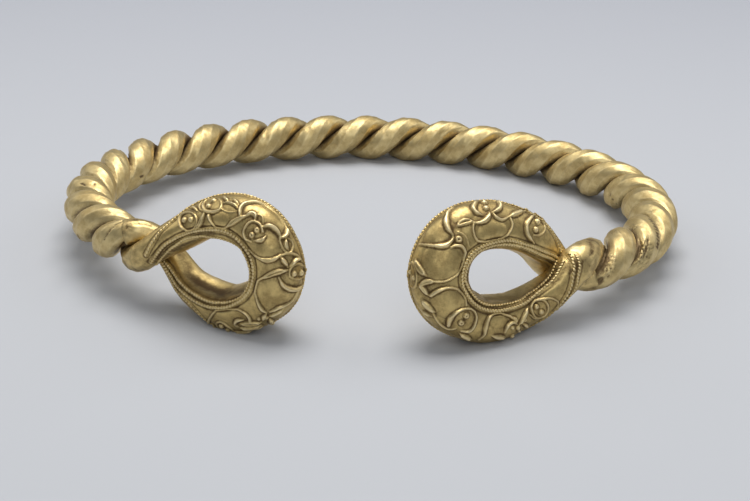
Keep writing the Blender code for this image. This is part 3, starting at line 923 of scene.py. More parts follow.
    def add_tendril(self, line: Tendril) -> None:
        """Raise one line.

        Args:
            line: the raised line.
        """
        places = smooth_line(line.path, line.closed, self.relief.line_pieces)
        part, gap, share = self.distances(places, max(line.widths))
        self.raise_to(part, self.relief.of_tendril(line, gap, share))

    def add_pellet(self, boss: Pellet) -> None:
        """Raise one boss, about a line so short that it is a spot.

        Args:
            boss: the boss.
        """
        station, angle = boss.at
        spot = np.array([(station, angle), (station + self.relief.boss_line, angle)])
        part, gap, _ = self.distances(spot, self.relief.boss_margin * boss.radius)
        self.raise_to(part, self.relief.of_pellet(boss, gap))

    def swelling(self, field: Swelling) -> Array:
        """Height of one cushion of ground over the whole grid.

        Args:
            field: the cushion.

        Returns:
            Millimetres for each point of the grid.
        """
        along = (self.stations[:, None] - field.at[0]) / field.reach[0]
        turn = np.mod(self.angles[None, :] - field.at[1] + 180.0, 360.0) - 180.0
        across = turn / field.reach[1]
        return field.height * np.clip(1.0 - along ** 2 - across ** 2, 0.0, 1.0) ** field.power

    def ornament(self, designs: Sequence[Ornament]) -> None:
        """Raise all that the designs hold and lay it on their swollen ground.

        Args:
            designs: the loop's own ornament and what both loops share.
        """
        cushion, hollow = np.zeros(self.height.shape), np.zeros(self.height.shape)
        for design in designs:
            for field in design.swellings:
                swollen = self.swelling(field)
                cushion, hollow = np.maximum(cushion, swollen), np.minimum(hollow, swollen)
            for line in design.tendrils:
                self.add_tendril(line)
            for boss in design.pellets:
                self.add_pellet(boss)
            for path in design.fine_lines:
                self.add_tendril(Tendril(path, self.relief.fine_widths, self.relief.fine_rise))
        self.height += cushion + hollow

    def read(self, values: Array, places: Array) -> Array:
        """Values at rows of station and angle, read from the nearest grid points.

        Args:
            values: one value for each point of the grid.
            places: rows of station and angle.

        Returns:
            A value for each place.
        """
        rows = np.clip(np.searchsorted(self.stations, places[:, 0]), 0, len(self.stations) - 1)
        columns = np.clip(np.searchsorted(self.angles, places[:, 1]), 0, len(self.angles) - 1)
        return values[rows, columns]

    def soften(self, values: Array, passes: int) -> Array:
        """Average each value with its four neighbours a few times.

        Args:
            values: one value for each point of the grid.
            passes: how many times.

        Returns:
            The softened values.
        """
        neighbour_share = 0.25 * (1.0 - self.kept_share)
        for _ in range(passes):
            along = np.concatenate([values[:1], values[:-1]]) + np.concatenate([values[1:], values[-1:]])
            around = np.roll(values, 1, axis=1) + np.roll(values, -1, axis=1)
            values = self.kept_share * values + neighbour_share * (along + around)
        return values

    def cut_groove(self, part: GridPart, depth: Array) -> None:
        """Note a groove where it is deeper than those that are there."""
        self.grooves[part] = np.maximum(self.grooves[part], depth)

    def add_band(self, path: Path, half_width: float, rise_by: float) -> None:
        """Raise the bed that a cable lies on, with a groove on either side of it.

        Args:
            path: the cable's line.
            half_width: half the breadth of the bed, in millimetres.
            rise_by: how high the bed's middle stands, in millimetres.
        """
        places = smooth_line(path, False, self.band_pieces)
        part, gap, _ = self.distances(places, self.band_margin * half_width)
        self.raise_to(part, rise_by * np.clip(1.0 - (gap / half_width) ** 2, 0.0, 1.0))
        # the bed is later painted darker, as dirt and painted shade under the cable
        bed = smooth_step(self.bed_spread[0] - self.bed_spread[1] * gap / half_width)
        self.beds[part] = np.maximum(self.beds[part], bed)
        off_line = (gap / half_width - self.groove_place) / self.groove_width
        self.cut_groove(part, self.groove_depth * np.exp(-off_line ** 2))

    def add_crack(self, path: Path) -> None:
        """Cut a fine crack.

        Args:
            path: the crack's line.
        """
        places = smooth_line(path, False, self.band_pieces)
        part, gap, _ = self.distances(places, self.band_margin * self.crack_half_width)
        self.cut_groove(part, self.crack_depth * np.exp(-(gap / self.crack_half_width) ** 2))

    def match_rods(self, rope: "TwistedRope", hammered: Unevenness) -> None:
        """Give both ends the breadth, facets and marks of the rods, and draw them in at the seams.

        Args:
            rope: the two rods.
            hammered: unevenness of the ends.
        """
        spine = self.surface.spine
        axis = spine.hoop.to_rest(spine.points[::2])
        middle = read_rows(self.stations * MM, self.surface.stations, self.surface.middle)
        nearest = np.linalg.norm(middle[:, None, :] - axis[None, :, :], axis=-1).argmin(axis=1)
        radial = unit(middle - axis[nearest])[:, None, :]
        away = unit(self.ground - middle[:, None, :])
        outward = np.sum(away * radial, axis=-1)
        from_end = np.minimum(self.stations, self.surface.length / MM - self.stations)[:, None]
        near_end = 1.0 - rise(from_end, self.breadth_reach, self.rod_fade)
        self.stubs = np.broadcast_to(1.0 - rise(from_end, self.facet_reach, self.rod_fade), outward.shape)
        half, facet = rope.rod_radius / MM, 2.0 * pi / rope.facets
        in_facet = np.mod(np.arccos(np.clip(outward, -1.0, 1.0)) + 0.5 * facet, facet) - 0.5 * facet
        self.height += (rope.breadth - 1.0) * half * (1.0 - outward ** 2) * near_end
        self.height += self.stubs * half * rope.facet_edge * (1.0 / np.cos(in_facet) - 1.0)
        self.height += self.stubs * hammered.at(self.ground) / MM
        self.taper = self.end_taper * (1.0 - smooth_step(from_end / self.taper_fade))

    def shape_ground(self, worn: Unevenness, dented: Unevenness) -> None:
        """Hollow the inner channel, cut the grooves and make the surface a little uneven.

        Args:
            worn: broad unevenness.
            dented: fine unevenness.
        """
        across = np.clip((self.angles - self.panel[1]) / (self.back_end - self.panel[1]), 0.0, 1.0)
        profile = np.sin(pi * across)[None, :]
        end = self.stations[-1]
        inside = (rise(self.stations, self.hollow_reach[0], self.hollow_fade)
                  * rise(end - self.hollow_reach[1] - self.stations, 0.0, self.hollow_fade))
        from_end = np.minimum(self.stations, end - self.stations)
        self.channel = rise(from_end, self.channel_reach, self.channel_fade)[:, None] * profile
        self.height = self.soften(self.height, 1)
        self.height += (worn.at(self.ground) + dented.at(self.ground)) / MM
        self.height -= self.hollow_depth * (inside[:, None] * profile ** 2) + self.grooves

    def finished(self) -> tuple[Array, Array, Array]:
        """The points of the worked surface, and the dirt and painted shade and the wear and painted highlight
        of each.

        Returns:
            The points, the dirt and painted shade, and the wear and painted highlight.
        """
        patina_and_painted_light = self.patina_and_painted_light
        shallow = self.soften(self.height, patina_and_painted_light.narrow_passes)
        broad = self.soften(self.height, patina_and_painted_light.broad_passes)
        # dirt and painted shade: even dirt, darker next to raised work, in grooves and under the cables, and
        # painted light and shade in the channel
        dirt_and_shade = (patina_and_painted_light.even_dirt + patina_and_painted_light.narrow_dirt_and_shade * (shallow - self.height)
                 + patina_and_painted_light.broad_dirt_and_shade * (broad - self.height) + patina_and_painted_light.groove_dirt_and_shade * self.grooves
                 + patina_and_painted_light.bed_dirt_and_shade * self.beds + patina_and_painted_light.stub_dirt * self.stubs
                 + patina_and_painted_light.channel_light_and_shade * self.channel)
        dirt_and_shade = self.soften(np.clip(dirt_and_shade, 0.0, 1.0), 1)
        # wear and painted highlight on the high places, and wear on the stubs
        wear_and_highlight = np.clip(patina_and_painted_light.top_wear_and_highlight * (self.height - broad) - patina_and_painted_light.wear_and_highlight_from, 0.0, 1.0)
        wear_and_highlight = np.maximum(wear_and_highlight * (1.0 - self.beds), patina_and_painted_light.stub_wear * self.stubs)
        points = self.ground + MM * (self.height - self.taper)[..., None] * self.facing
        points[..., 2] = np.maximum(points[..., 2], 0.0)
        return points, dirt_and_shade, wear_and_highlight


# --- node trees ---
@dataclass(frozen=True)
class Fade:
    """A smooth change from start to end while a value goes from low to high."""

    low: float
    high: float
    start: float = 0.0
    end: float = 1.0


@dataclass(frozen=True)
class Noise:
    """Fineness of a noise texture."""

    scale: float
    detail: float
    roughness: float = 0.5


GEOMETRY, MATERIAL, VECTOR = "NodeSocketGeometry", "NodeSocketMaterial", "NodeSocketVector"
NUMBER, COUNT, COLOUR = "NodeSocketFloat", "NodeSocketInt", "NodeSocketColor"


class Graph:
    """A node tree under construction."""

    def __init__(self, tree: Tree) -> None:
        """Take over a tree that has no group input and output."""
        self.tree = tree
        self.entry = self.exit = None

    @classmethod
    def group(cls, name: str, kind: str, inputs: dict[str, Any], outputs: dict[str, str]) -> "Graph":
        """Start a group.

        Args:
            name: the group's name.
            kind: type of tree.
            inputs: default value of each named input, or its socket type where it has none.
            outputs: socket type of each named output.

        Returns:
            The graph, with its sockets in place.
        """
        graph = cls(bpy.data.node_groups.new(name, kind))
        for socket, default in inputs.items():
            socket_type = {float: NUMBER, int: COUNT, tuple: VECTOR}.get(type(default), default)
            made = graph.tree.interface.new_socket(socket, in_out="INPUT", socket_type=socket_type)
            if default is not socket_type:
                made.default_value = default
        for socket, socket_type in outputs.items():
            graph.tree.interface.new_socket(socket, in_out="OUTPUT", socket_type=socket_type)
        graph.entry = graph.tree.nodes.new("NodeGroupInput").outputs
        graph.exit = graph.tree.nodes.new("NodeGroupOutput").inputs
        return graph

    def node(self, kind: str, inputs: dict[Any, Any], **settings: Any) -> bpy.types.Node:
        """Add a node.

        Args:
            kind: type of node.
            inputs: a socket to link or a value to set, for each input by name or place.
            **settings: the node's own properties.

        Returns:
            The new node.
        """
        made = self.tree.nodes.new(kind)
        for name, value in settings.items():
            setattr(made, name, value)
        for name, value in inputs.items():
            self.feed(made.inputs[name], value)
        return made

    def feed(self, socket: Socket, value: Any) -> None:
        """Link an output to this input, or set the input's value.

        Args:
            socket: the input.
            value: another node's output, or a plain value.
        """
        if isinstance(value, Socket):
            self.tree.links.new(value, socket)
        else:
            socket.default_value = value

    def math(self, operation: str, first: Any, second: Any = 0.0, third: Any = 0.0) -> Socket:
        """Result of a Math node."""
        return self.node("ShaderNodeMath", {0: first, 1: second, 2: third}, operation=operation).outputs[0]

    def plus(self, first: Any, second: Any) -> Socket:
        """The sum of two values."""
        return self.math("ADD", first, second)

    def minus(self, first: Any, second: Any) -> Socket:
        """The first value less the second."""
        return self.math("SUBTRACT", first, second)

    def times(self, first: Any, second: Any) -> Socket:
        """The product of two values."""
        return self.math("MULTIPLY", first, second)

    def scaled(self, vector: Any, scale: Any) -> Socket:
        """A vector times a number."""
        return self.node("ShaderNodeVectorMath", {0: vector, "Scale": scale}, operation="SCALE").outputs[0]

    def ramp(self, value: Any, fade: Fade) -> Socket:
        """A value put through a fade."""
        return self.node("ShaderNodeMapRange", {"Value": value, "From Min": fade.low, "From Max": fade.high,
                                                "To Min": fade.start, "To Max": fade.end},
                         interpolation_type="SMOOTHSTEP").outputs[0]

    def noise(self, place: Any, noise: Noise) -> Socket:
        """A noise texture's value at a place."""
        return self.node("ShaderNodeTexNoise", {"Vector": place, "Scale": noise.scale, "Detail": noise.detail,
                                                "Roughness": noise.roughness}).outputs["Fac"]

    def mixed(self, amount: Any, first: Any, second: Any) -> Socket:
        """Two colours mixed."""
        return self.node("ShaderNodeMix", {0: amount, 6: first, 7: second}, data_type="RGBA").outputs[2]

    def attribute(self, name: str, kind: str = "FLOAT_VECTOR") -> Socket:
        """A named attribute in a geometry tree."""
        return self.node("GeometryNodeInputNamedAttribute", {"Name": name}, data_type=kind).outputs[0]

    def shader_attribute(self, name: str, output: str) -> Socket:
        """A named attribute in a material."""
        return self.node("ShaderNodeAttribute", {}, attribute_name=name).outputs[output]

    def stored(self, geometry: Any, name: str, value: Any, kind: str) -> Socket:
        """Geometry with a value of some kind stored on its points, under a name."""
        return self.node("GeometryNodeStoreNamedAttribute",
                         {"Geometry": geometry, "Name": name, "Value": value},
                         data_type=kind, domain="POINT").outputs[0]

    def end_with(self, geometry: Any) -> None:
        """Realize the geometry, shade it smooth, give it the material and put it out.

        Args:
            geometry: the geometry's socket.
        """
        real = self.node("GeometryNodeRealizeInstances", {0: geometry}).outputs[0]
        smooth = self.node("GeometryNodeSetShadeSmooth", {"Geometry": real}).outputs[0]
        dressed = self.node("GeometryNodeSetMaterial",
                            {"Geometry": smooth, "Material": self.entry["Material"]}).outputs[0]
        self.feed(self.exit[0], dressed)


def strand_tree() -> Tree:
    """Tree that winds a faceted rod about a guide line.

    The guide's points carry their share of the way along and their outward and up axes, and the
    rod's points keep their angle round the rod.

    Returns:
        The tree.
    """
    graph = Graph.group("wound rod", "GeometryNodeTree", {
        "Guide": GEOMETRY, "Half Turns": 26.0, "Twist Drift": 0.0, "Start Angle": 0.0,
        "Rod Offset": 0.0037, "Rod Radius": 0.0035, "Facets": 8.0, "Facet Edge": 0.9, "Breadth": 1.0,
        "Contact": 0.0, "Contact Power": 4.0, "Points Around": 52, "Material": MATERIAL},
        {"Rod": GEOMETRY})
    entry = graph.entry
    share = graph.attribute("share", "FLOAT")
    full_turns = graph.times(graph.times(share, entry["Half Turns"]), -pi)
    drift = graph.times(graph.math("SINE", graph.times(share, 2.0 * pi)), entry["Twist Drift"])
    angle = graph.plus(graph.plus(full_turns, drift), entry["Start Angle"])
    outward = graph.scaled(graph.attribute("outward"), graph.math("COSINE", angle))
    up = graph.scaled(graph.attribute("up"), graph.math("SINE", angle))
    radial = graph.node("ShaderNodeVectorMath", {0: outward, 1: up}, operation="ADD").outputs[0]
    marked = graph.stored(entry["Guide"], "radial", radial, "FLOAT_VECTOR")
    kept = graph.attribute("radial")
    reach = graph.scaled(kept, entry["Rod Offset"])
    wound = graph.node("GeometryNodeSetPosition", {"Geometry": marked, "Offset": reach}).outputs[0]
    line = graph.node("GeometryNodeMeshToCurve", {0: wound}).outputs[0]
    turned = graph.node("GeometryNodeSetCurveNormal", {"Curve": line, "Normal": kept}, mode="FREE").outputs[0]

    circle = graph.node("GeometryNodeCurvePrimitiveCircle", {
        "Resolution": entry["Points Around"], "Radius": 1.0}, mode="RADIUS").outputs["Curve"]
    index = graph.node("GeometryNodeInputIndex", {}).outputs[0]
    turn = graph.math("DIVIDE", index, entry["Points Around"])
    around = graph.times(graph.minus(turn, 0.5), 2.0 * pi)
    cosine, sine = graph.math("COSINE", around), graph.math("SINE", around)
    half_facet = graph.math("DIVIDE", pi, entry["Facets"])
    in_facet = graph.math("WRAP", around, half_facet, graph.times(half_facet, -1.0))
    corner = graph.minus(graph.math("DIVIDE", 1.0, graph.math("COSINE", in_facet)), 1.0)
    faceted = graph.math("MULTIPLY_ADD", corner, entry["Facet Edge"], 1.0)
    towards = graph.math("MAXIMUM", graph.times(cosine, -1.0), 0.0)
    pressed = graph.math("POWER", towards, entry["Contact Power"])
    radius = graph.math("MULTIPLY_ADD", pressed, entry["Contact"], graph.times(faceted, entry["Rod Radius"]))
    spot = graph.node("ShaderNodeCombineXYZ", {
        0: graph.times(cosine, radius),
        1: graph.times(sine, graph.times(radius, entry["Breadth"]))}).outputs[0]
    section = graph.node("GeometryNodeSetPosition", {
        "Geometry": graph.stored(circle, "around", around, "FLOAT"), "Position": spot}).outputs[0]
    rod = graph.node("GeometryNodeCurveToMesh", {"Curve": turned, "Profile Curve": section,
                                                 "Fill Caps": True}).outputs[0]
    graph.end_with(rod)
    return graph.tree


def cable_tree() -> Tree:
    """Tree that lays slanted beads along a guide line whose points know which way is out.

    Each bead is painted darker at its two ends and at its foot, as dirt and painted shade, and lighter on its
    top, as wear and painted highlight.

    Returns:
        The tree.
    """
    graph = Graph.group("beaded cable", "GeometryNodeTree", {
        "Guide": GEOMETRY, "Pitch": 0.0008, "Bead": (0.0004, 0.0005, 0.0004), "Slant": 0.4,
        "Spread": 0.1, "Seed": 1, "Material": MATERIAL}, {"Cable": GEOMETRY})
    entry = graph.entry
    line = graph.node("GeometryNodeMeshToCurve", {0: entry["Guide"]}).outputs[0]
    even = graph.node("GeometryNodeResampleCurve", {"Curve": line, "Length": entry["Pitch"]},
                      mode="LENGTH").outputs[0]
    bead = graph.node("GeometryNodeMeshUVSphere", {"Segments": 8, "Rings": 6, "Radius": 1.0}).outputs["Mesh"]
    place = graph.node("ShaderNodeSeparateXYZ", {0: graph.node("GeometryNodeInputPosition", {}).outputs[0]})
    from_middle, height = graph.math("ABSOLUTE", place.outputs[0]), place.outputs[2]
    # dirt and painted shade where a bead meets its neighbours and the ground
    at_ends = graph.ramp(from_middle, Fade(0.55, 0.95, 0.0, 0.55))
    at_foot = graph.ramp(height, Fade(0.35, -0.25, 0.0, 0.65))
    dirtied_and_shaded = graph.stored(bead, "dirt_and_shade", graph.math("MAXIMUM", at_ends, at_foot), "FLOAT")
    # wear and painted highlight on a bead's top
    worn = graph.stored(dirtied_and_shaded, "wear_and_highlight", graph.ramp(height, Fade(0.4, 1.0, 0.0, 0.7)), "FLOAT")
    tangent = graph.node("GeometryNodeInputTangent", {}).outputs[0]
    flat = graph.node("FunctionNodeAxesToRotation", {
        "Primary Axis": graph.attribute("facing"), "Secondary Axis": tangent},
        primary_axis="Z", secondary_axis="X").outputs[0]
    slant = graph.node("FunctionNodeAxisAngleToRotation", {"Axis": (0.0, 0.0, 1.0),
                                                           "Angle": entry["Slant"]}).outputs[0]
    turned = graph.node("FunctionNodeRotateRotation", {"Rotation": flat, "Rotate By": slant},
                        rotation_space="LOCAL").outputs[0]
    chance = graph.node("FunctionNodeRandomValue", {
        2: graph.minus(1.0, entry["Spread"]), 3: graph.plus(1.0, entry["Spread"]),
        "Seed": entry["Seed"]}, data_type="FLOAT").outputs[1]
    beads = graph.node("GeometryNodeInstanceOnPoints", {
        "Points": even, "Instance": worn, "Rotation": turned,
        "Scale": graph.scaled(entry["Bead"], chance)}).outputs[0]
    graph.end_with(beads)
    return graph.tree


def store(mesh: bpy.types.Mesh, values: dict[str, Array]) -> None:
    """Store a number or a vector for each vertex, as named attributes.

    Args:
        mesh: the mesh.
        values: the numbers or vectors of each attribute, by its name.
    """
    for name, numbers in values.items():
        is_vector = numbers.ndim > 1
        layer = mesh.attributes.new(name, "FLOAT_VECTOR" if is_vector else "FLOAT", "POINT")
        layer.data.foreach_set("vector" if is_vector else "value", numbers.astype(np.float32).ravel())


def read_out(data: Any, name: str, width: int) -> Array:
    """Read one property of every element of some mesh data, as rows of this width.

    Args:
        data: the elements.
        name: the property.
        width: how many numbers each element has.

    Returns:
        One row for each element.
    """
    numbers = np.empty(width * len(data), np.float32)
    data.foreach_get(name, numbers)
    return numbers.reshape(-1, width)


def piece_from(name: str, points: Array, values: dict[str, Array],
               edges: Sequence[tuple[int, int]] = (), faces: Sequence[Sequence[int]] = ()) -> Piece:
    """Make an object at the origin.

    Args:
        name: the piece's name.
        points: its vertices.
        values: a number or a vector for each vertex, stored as named attributes.
        edges: pairs of vertices, for a guide line.
        faces: its faces.

    Returns:
        The object, linked to the scene.
    """
    mesh = bpy.data.meshes.new(name)
    mesh.from_pydata(points.tolist(), edges, faces)
    store(mesh, values)
    mesh.update()
    made = bpy.data.objects.new(name, mesh)
    bpy.context.scene.collection.objects.link(made)
    return made


def guide_line(name: str, points: Array, values: dict[str, Array]) -> Piece:
    """Make an open line through points, with values on them for a tree to read."""
    return piece_from(name, points, values, edges=[(k, k + 1) for k in range(len(points) - 1)])


def grow(guide: Piece, tree: Tree, inputs: dict[str, Any]) -> Piece:
    """Run a tree on a guide and keep the plain mesh that comes out.

    Args:
        guide: the object whose mesh goes in.
        tree: the geometry tree.
        inputs: a value for each named input.

    Returns:
        The same object, with the result as its mesh and no modifier.
    """
    modifier = guide.modifiers.new(tree.name, "NODES")
    modifier.node_group = tree
    for item in tree.interface.items_tree:
        if item.item_type == "SOCKET" and item.in_out == "INPUT" and item.name in inputs:
            modifier[item.identifier] = inputs[item.name]
    depsgraph = bpy.context.evaluated_depsgraph_get()
    grown = bpy.data.meshes.new_from_object(guide.evaluated_get(depsgraph), preserve_all_data_layers=True,
                                            depsgraph=depsgraph)
    guide.modifiers.clear()
    before, guide.data = guide.data, grown
    bpy.data.meshes.remove(before)
    grown.name = guide.name
    return guide


# --- finishes ---
@dataclass(frozen=True)
class WorkedGrain:
    """Hand-worked metal: soft dents, fine scratches, blotches and specks."""

    dents: Noise = Noise(900.0, 3.0, 0.55)
    streaks: Noise = Noise(2600.0, 4.0, 0.60)
    blotches: Noise = Noise(260.0, 6.0, 0.70)
    specks: Noise = Noise(3200.0, 2.0)
    blotch_edge: Fade = Fade(0.38, 0.66)

    def group(self) -> Tree:
        """Shader group that gives the height, the mottle and the fine grain.

        Returns:
            The group.
        """
        graph = Graph.group("hand-worked grain", "ShaderNodeTree", {
            "Place": VECTOR, "Along": VECTOR, "Dents": 1.0, "Scratches": 1.0},
            {"Height": NUMBER, "Mottle": NUMBER, "Fine": NUMBER})
        place, along = graph.entry["Place"], graph.entry["Along"]
        streaks, specks = graph.noise(along, self.streaks), graph.noise(place, self.specks)
        dented = graph.times(graph.noise(place, self.dents), graph.entry["Dents"])
        scratched = graph.times(streaks, graph.entry["Scratches"])
        graph.feed(graph.exit["Height"], graph.plus(dented, scratched))
        graph.feed(graph.exit["Mottle"], graph.ramp(graph.noise(place, self.blotches), self.blotch_edge))
        graph.feed(graph.exit["Fine"], graph.plus(graph.times(specks, 0.5), graph.times(streaks, 0.5)))
        return graph.tree


@dataclass(frozen=True)
class OldGoldTone:
    """How far dirt and painted shade, wear and painted highlight, mottle and fine grain change the colour and
    the shine of old gold.
    """

    fine_dirt: float = 1.05
    mottled_dirt: float = 0.16
    dirt_and_shade_edge: Fade = Fade(0.05, 1.0)
    metal_loss: float = 0.30
    mottled_warmth: float = 0.8
    mottled_dullness: float = 0.6
    fine_dullness: float = 0.12

    def group(self) -> Tree:
        """Shader group that gives the colour, the roughness and how metallic the gold is.

        Returns:
            The group.
        """
        graph = Graph.group("old gold tone", "ShaderNodeTree", {
            "Base": COLOUR, "Warm": COLOUR, "Bright": COLOUR, "Dark Dirt and Shade": COLOUR, "Mottle": 0.5,
            "Fine": 0.5, "Dirt and Shade": 0.0, "Wear and Highlight": 0.0, "Smooth": 0.26, "Dull": 0.48},
            {"Color": COLOUR, "Roughness": NUMBER, "Metallic": NUMBER})
        entry = graph.entry
        fine, mottle = graph.minus(entry["Fine"], 0.5), graph.minus(entry["Mottle"], 0.5)
        uneven = graph.plus(graph.times(fine, self.fine_dirt), graph.times(mottle, self.mottled_dirt))
        # dirt and painted shade pull the colour towards the dark colour, and wear and painted highlight
        # towards the bright one
        dark_dirt_and_shade = graph.ramp(graph.plus(entry["Dirt and Shade"], uneven), self.dirt_and_shade_edge)
        warmth = graph.times(entry["Mottle"], self.mottled_warmth)
        clean = graph.mixed(entry["Wear and Highlight"], graph.mixed(warmth, entry["Base"], entry["Warm"]), entry["Bright"])
        dulled = graph.math("MAXIMUM", dark_dirt_and_shade, graph.times(entry["Mottle"], self.mottled_dullness))
        dullness = graph.times(graph.minus(entry["Dull"], entry["Smooth"]), dulled)
        rough = graph.plus(graph.plus(entry["Smooth"], dullness), graph.times(fine, self.fine_dullness))
        graph.feed(graph.exit["Color"], graph.mixed(dark_dirt_and_shade, clean, entry["Dark Dirt and Shade"]))
        graph.feed(graph.exit["Metallic"], graph.math("MULTIPLY_ADD", dark_dirt_and_shade, -self.metal_loss, 1.0))
        graph.feed(graph.exit["Roughness"], rough)
        return graph.tree


class Pattern(Enum):
    """What the fine scratches of a finish follow."""

    OBJECT = "object"
    STRAND = "strand"


@dataclass(frozen=True)
class GoldFinish:
    """Old gold, more or less worn."""

    name: str
    pattern: Pattern
    base: Colour = (0.67, 0.505, 0.210, 1.0)
    warm: Colour = (0.43, 0.310, 0.125, 1.0)
    # bright is the colour of wear and painted highlight, and the colour below it that of dirt and painted
    # shade
    bright: Colour = (0.90, 0.74, 0.42, 1.0)
    dark_dirt_and_shade: Colour = (0.120, 0.072, 0.026, 1.0)
    smooth: float = 0.38
    dull: float = 0.60
    dents: float = 1.0
    scratches: float = 0.9
    bump: float = 0.55
    bump_depth: float = 0.00006

    def material(self, grain: Tree, tone: Tree) -> Material:
        """Build the material.

        Args:
            grain: the hand-worked grain group.
            tone: the gold tone group.

        Returns:
            The new material.
        """
        made = bpy.data.materials.new(self.name)
        made.use_nodes = True
        graph = Graph(made.node_tree)
        shader = made.node_tree.nodes["Principled BSDF"]
        place = graph.node("ShaderNodeTexCoord", {}).outputs["Object"]
        on_strand = self.pattern is Pattern.STRAND
        along = graph.shader_attribute("strand", "Vector") if on_strand else place
        worked = graph.node("ShaderNodeGroup", {"Place": place, "Along": along, "Dents": self.dents,
                                                "Scratches": self.scratches}, node_tree=grain).outputs
        # the stored dirt and painted shade, and wear and painted highlight, set the colour
        toned = graph.node("ShaderNodeGroup", {
            "Base": self.base, "Warm": self.warm, "Bright": self.bright, "Dark Dirt and Shade": self.dark_dirt_and_shade,
            "Mottle": worked["Mottle"], "Fine": worked["Fine"],
            "Dirt and Shade": graph.shader_attribute("dirt_and_shade", "Fac"), "Wear and Highlight": graph.shader_attribute("wear_and_highlight", "Fac"),
            "Smooth": self.smooth, "Dull": self.dull}, node_tree=tone).outputs
        bump = graph.node("ShaderNodeBump", {"Strength": self.bump, "Distance": self.bump_depth,
                                             "Height": worked["Height"]})
        for socket, value in {"Base Color": toned["Color"], "Roughness": toned["Roughness"],
                              "Metallic": toned["Metallic"], "Normal": bump.outputs["Normal"]}.items():
            graph.feed(shader.inputs[socket], value)
        return made


ROD_GOLD = GoldFinish("rod gold", Pattern.STRAND, base=(0.70, 0.555, 0.275, 1.0),
                      warm=(0.54, 0.40, 0.17, 1.0), bright=(0.92, 0.80, 0.50, 1.0),
                      dark_dirt_and_shade=(0.16, 0.105, 0.048, 1.0), smooth=0.43, dull=0.58,
                      dents=1.5, scratches=1.7, bump=0.60)
CAST_GOLD = GoldFinish("cast gold", Pattern.OBJECT)


# --- the pieces ---
@dataclass(frozen=True)
class Flaw:
    """A crack, pit, lip or rough patch on a rod.

    Its reach is half its length and half its width in millimetres, and its height is in
    millimetres too, below nought where it is sunk.  Its heading is in degrees from the run of
    the strand.
    """

    rod: int
    at: Place
    reach: Place
    height: float = 0.0
    heading: float = 0.0
    # how much darker the flaw is painted: dirt in cuts, cracks and pits, and painted shade in a gap between
    # strands
    dirt_and_shade: float = 0.0
    ragged: float = 0.0
    firmness: float = 1.6

    def share(self, distance: Array, around: Array, girth: float) -> Array:
        """How fully each point lies in the flaw.

        Args:
            distance: millimetres along the rope.
            around: angle round the rod.
            girth: the rod's radius in millimetres.

        Returns:
            1 in the middle of the flaw and 0 outside it.
        """
        along = (distance - self.at[0]) * STRAND_STRETCH
        across = (around - self.at[1]) * girth
        turn = radians(self.heading)
        length = (along * cos(turn) + across * sin(turn)) / self.reach[0]
        width = (across * cos(turn) - along * sin(turn)) / self.reach[1]
        return smooth_step(self.firmness * (1.0 - length ** 2 - width ** 2))


def row_of_ticks(rod: int, first: Place, last: Place, count: int) -> tuple[Flaw, ...]:
    """A comb of short cuts across the strand between two places.

    Args:
        rod: 0 or 1.
        first: the first tick's distance and angle.
        last: the last tick's.
        count: how many ticks.

    Returns:
        The ticks.
    """
    distances, angles = np.linspace(first[0], last[0], count), np.linspace(first[1], last[1], count)
    return tuple(Flaw(rod, (float(distance), float(around)), reach=(1.00, 0.34), height=-0.26,
                      heading=80.0, dirt_and_shade=1.0)
                 for distance, around in zip(distances, angles))


# Each has its rod, place, reach, height, heading, dirt and shade, and raggedness.
ROD_FLAWS = (
    # dark hollow with painted shade in the gap between the strands, long flake and cracks near the left loop
    Flaw(1, (9.3, -2.0), (2.6, 1.3), -0.70, 0.0, 1.0),
    Flaw(1, (11.4, -0.20), (2.0, 0.32), -0.26, -24.0, 0.95, 0.10),
    Flaw(1, (9.2, 0.10), (2.0, 0.30), -0.24, -6.0, 0.95, 0.10),
    Flaw(1, (10.4, -0.22), (2.8, 0.45), 0.16, -18.0, 0.0, 0.05),
    Flaw(0, (49.4, -0.97), (1.5, 0.32), -0.26, 24.0, 0.95),
    Flaw(0, (47.6, -0.70), (0.9, 0.26), -0.20, 60.0, 0.8),
    Flaw(0, (30.0, -0.5), (1.8, 0.25), -0.18, 8.0, 0.7),
    Flaw(1, (84.1, -0.36), (1.1, 0.32), -0.30, 62.0, 1.0),
    # pits on the right
    Flaw(1, (279.8, 0.30), (0.50, 0.40), -0.22, 0.0, 0.6),
    Flaw(1, (279.4, 0.65), (0.45, 0.40), -0.20, 0.0, 0.6),
    Flaw(1, (278.6, 1.00), (0.50, 0.40), -0.20, 0.0, 0.6),
    # rough patches, ragged lip and dip near the right loop
    Flaw(0, (337.6, 0.95), (4.2, 2.6), 0.0, 0.0, 0.26, 0.07),
    Flaw(0, (330.6, 1.35), (2.6, 1.5), 0.0, 0.0, 0.22, 0.06),
    Flaw(1, (352.6, 1.35), (3.4, 2.4), 0.0, 0.0, 0.25, 0.07),
    Flaw(1, (343.0, 0.6), (3.5, 2.0), 0.0, 0.0, 0.15, 0.05),
    Flaw(1, (351.5, 2.42), (6.5, 0.85), 0.95, -4.0, 0.0, 0.30),
    Flaw(1, (352.4, 2.02), (5.0, 0.32), -0.25, -4.0, 0.9, 0.10),
    Flaw(1, (355.8, 1.15), (1.6, 1.3), -0.28, 0.0, 0.75),
    # furrows beside the rough patch
    Flaw(0, (338.4, 1.66), (4.6, 0.44), -0.42, 0.0, 1.0, 0.10),
    Flaw(0, (336.8, 1.02), (3.4, 0.30), -0.28, 8.0, 0.9, 0.08),
    Flaw(0, (338.0, 1.34), (4.4, 0.50), 0.20, 3.0, 0.0, 0.14),
) + row_of_ticks(0, (329.6, -0.42), (335.2, -0.12), 10)


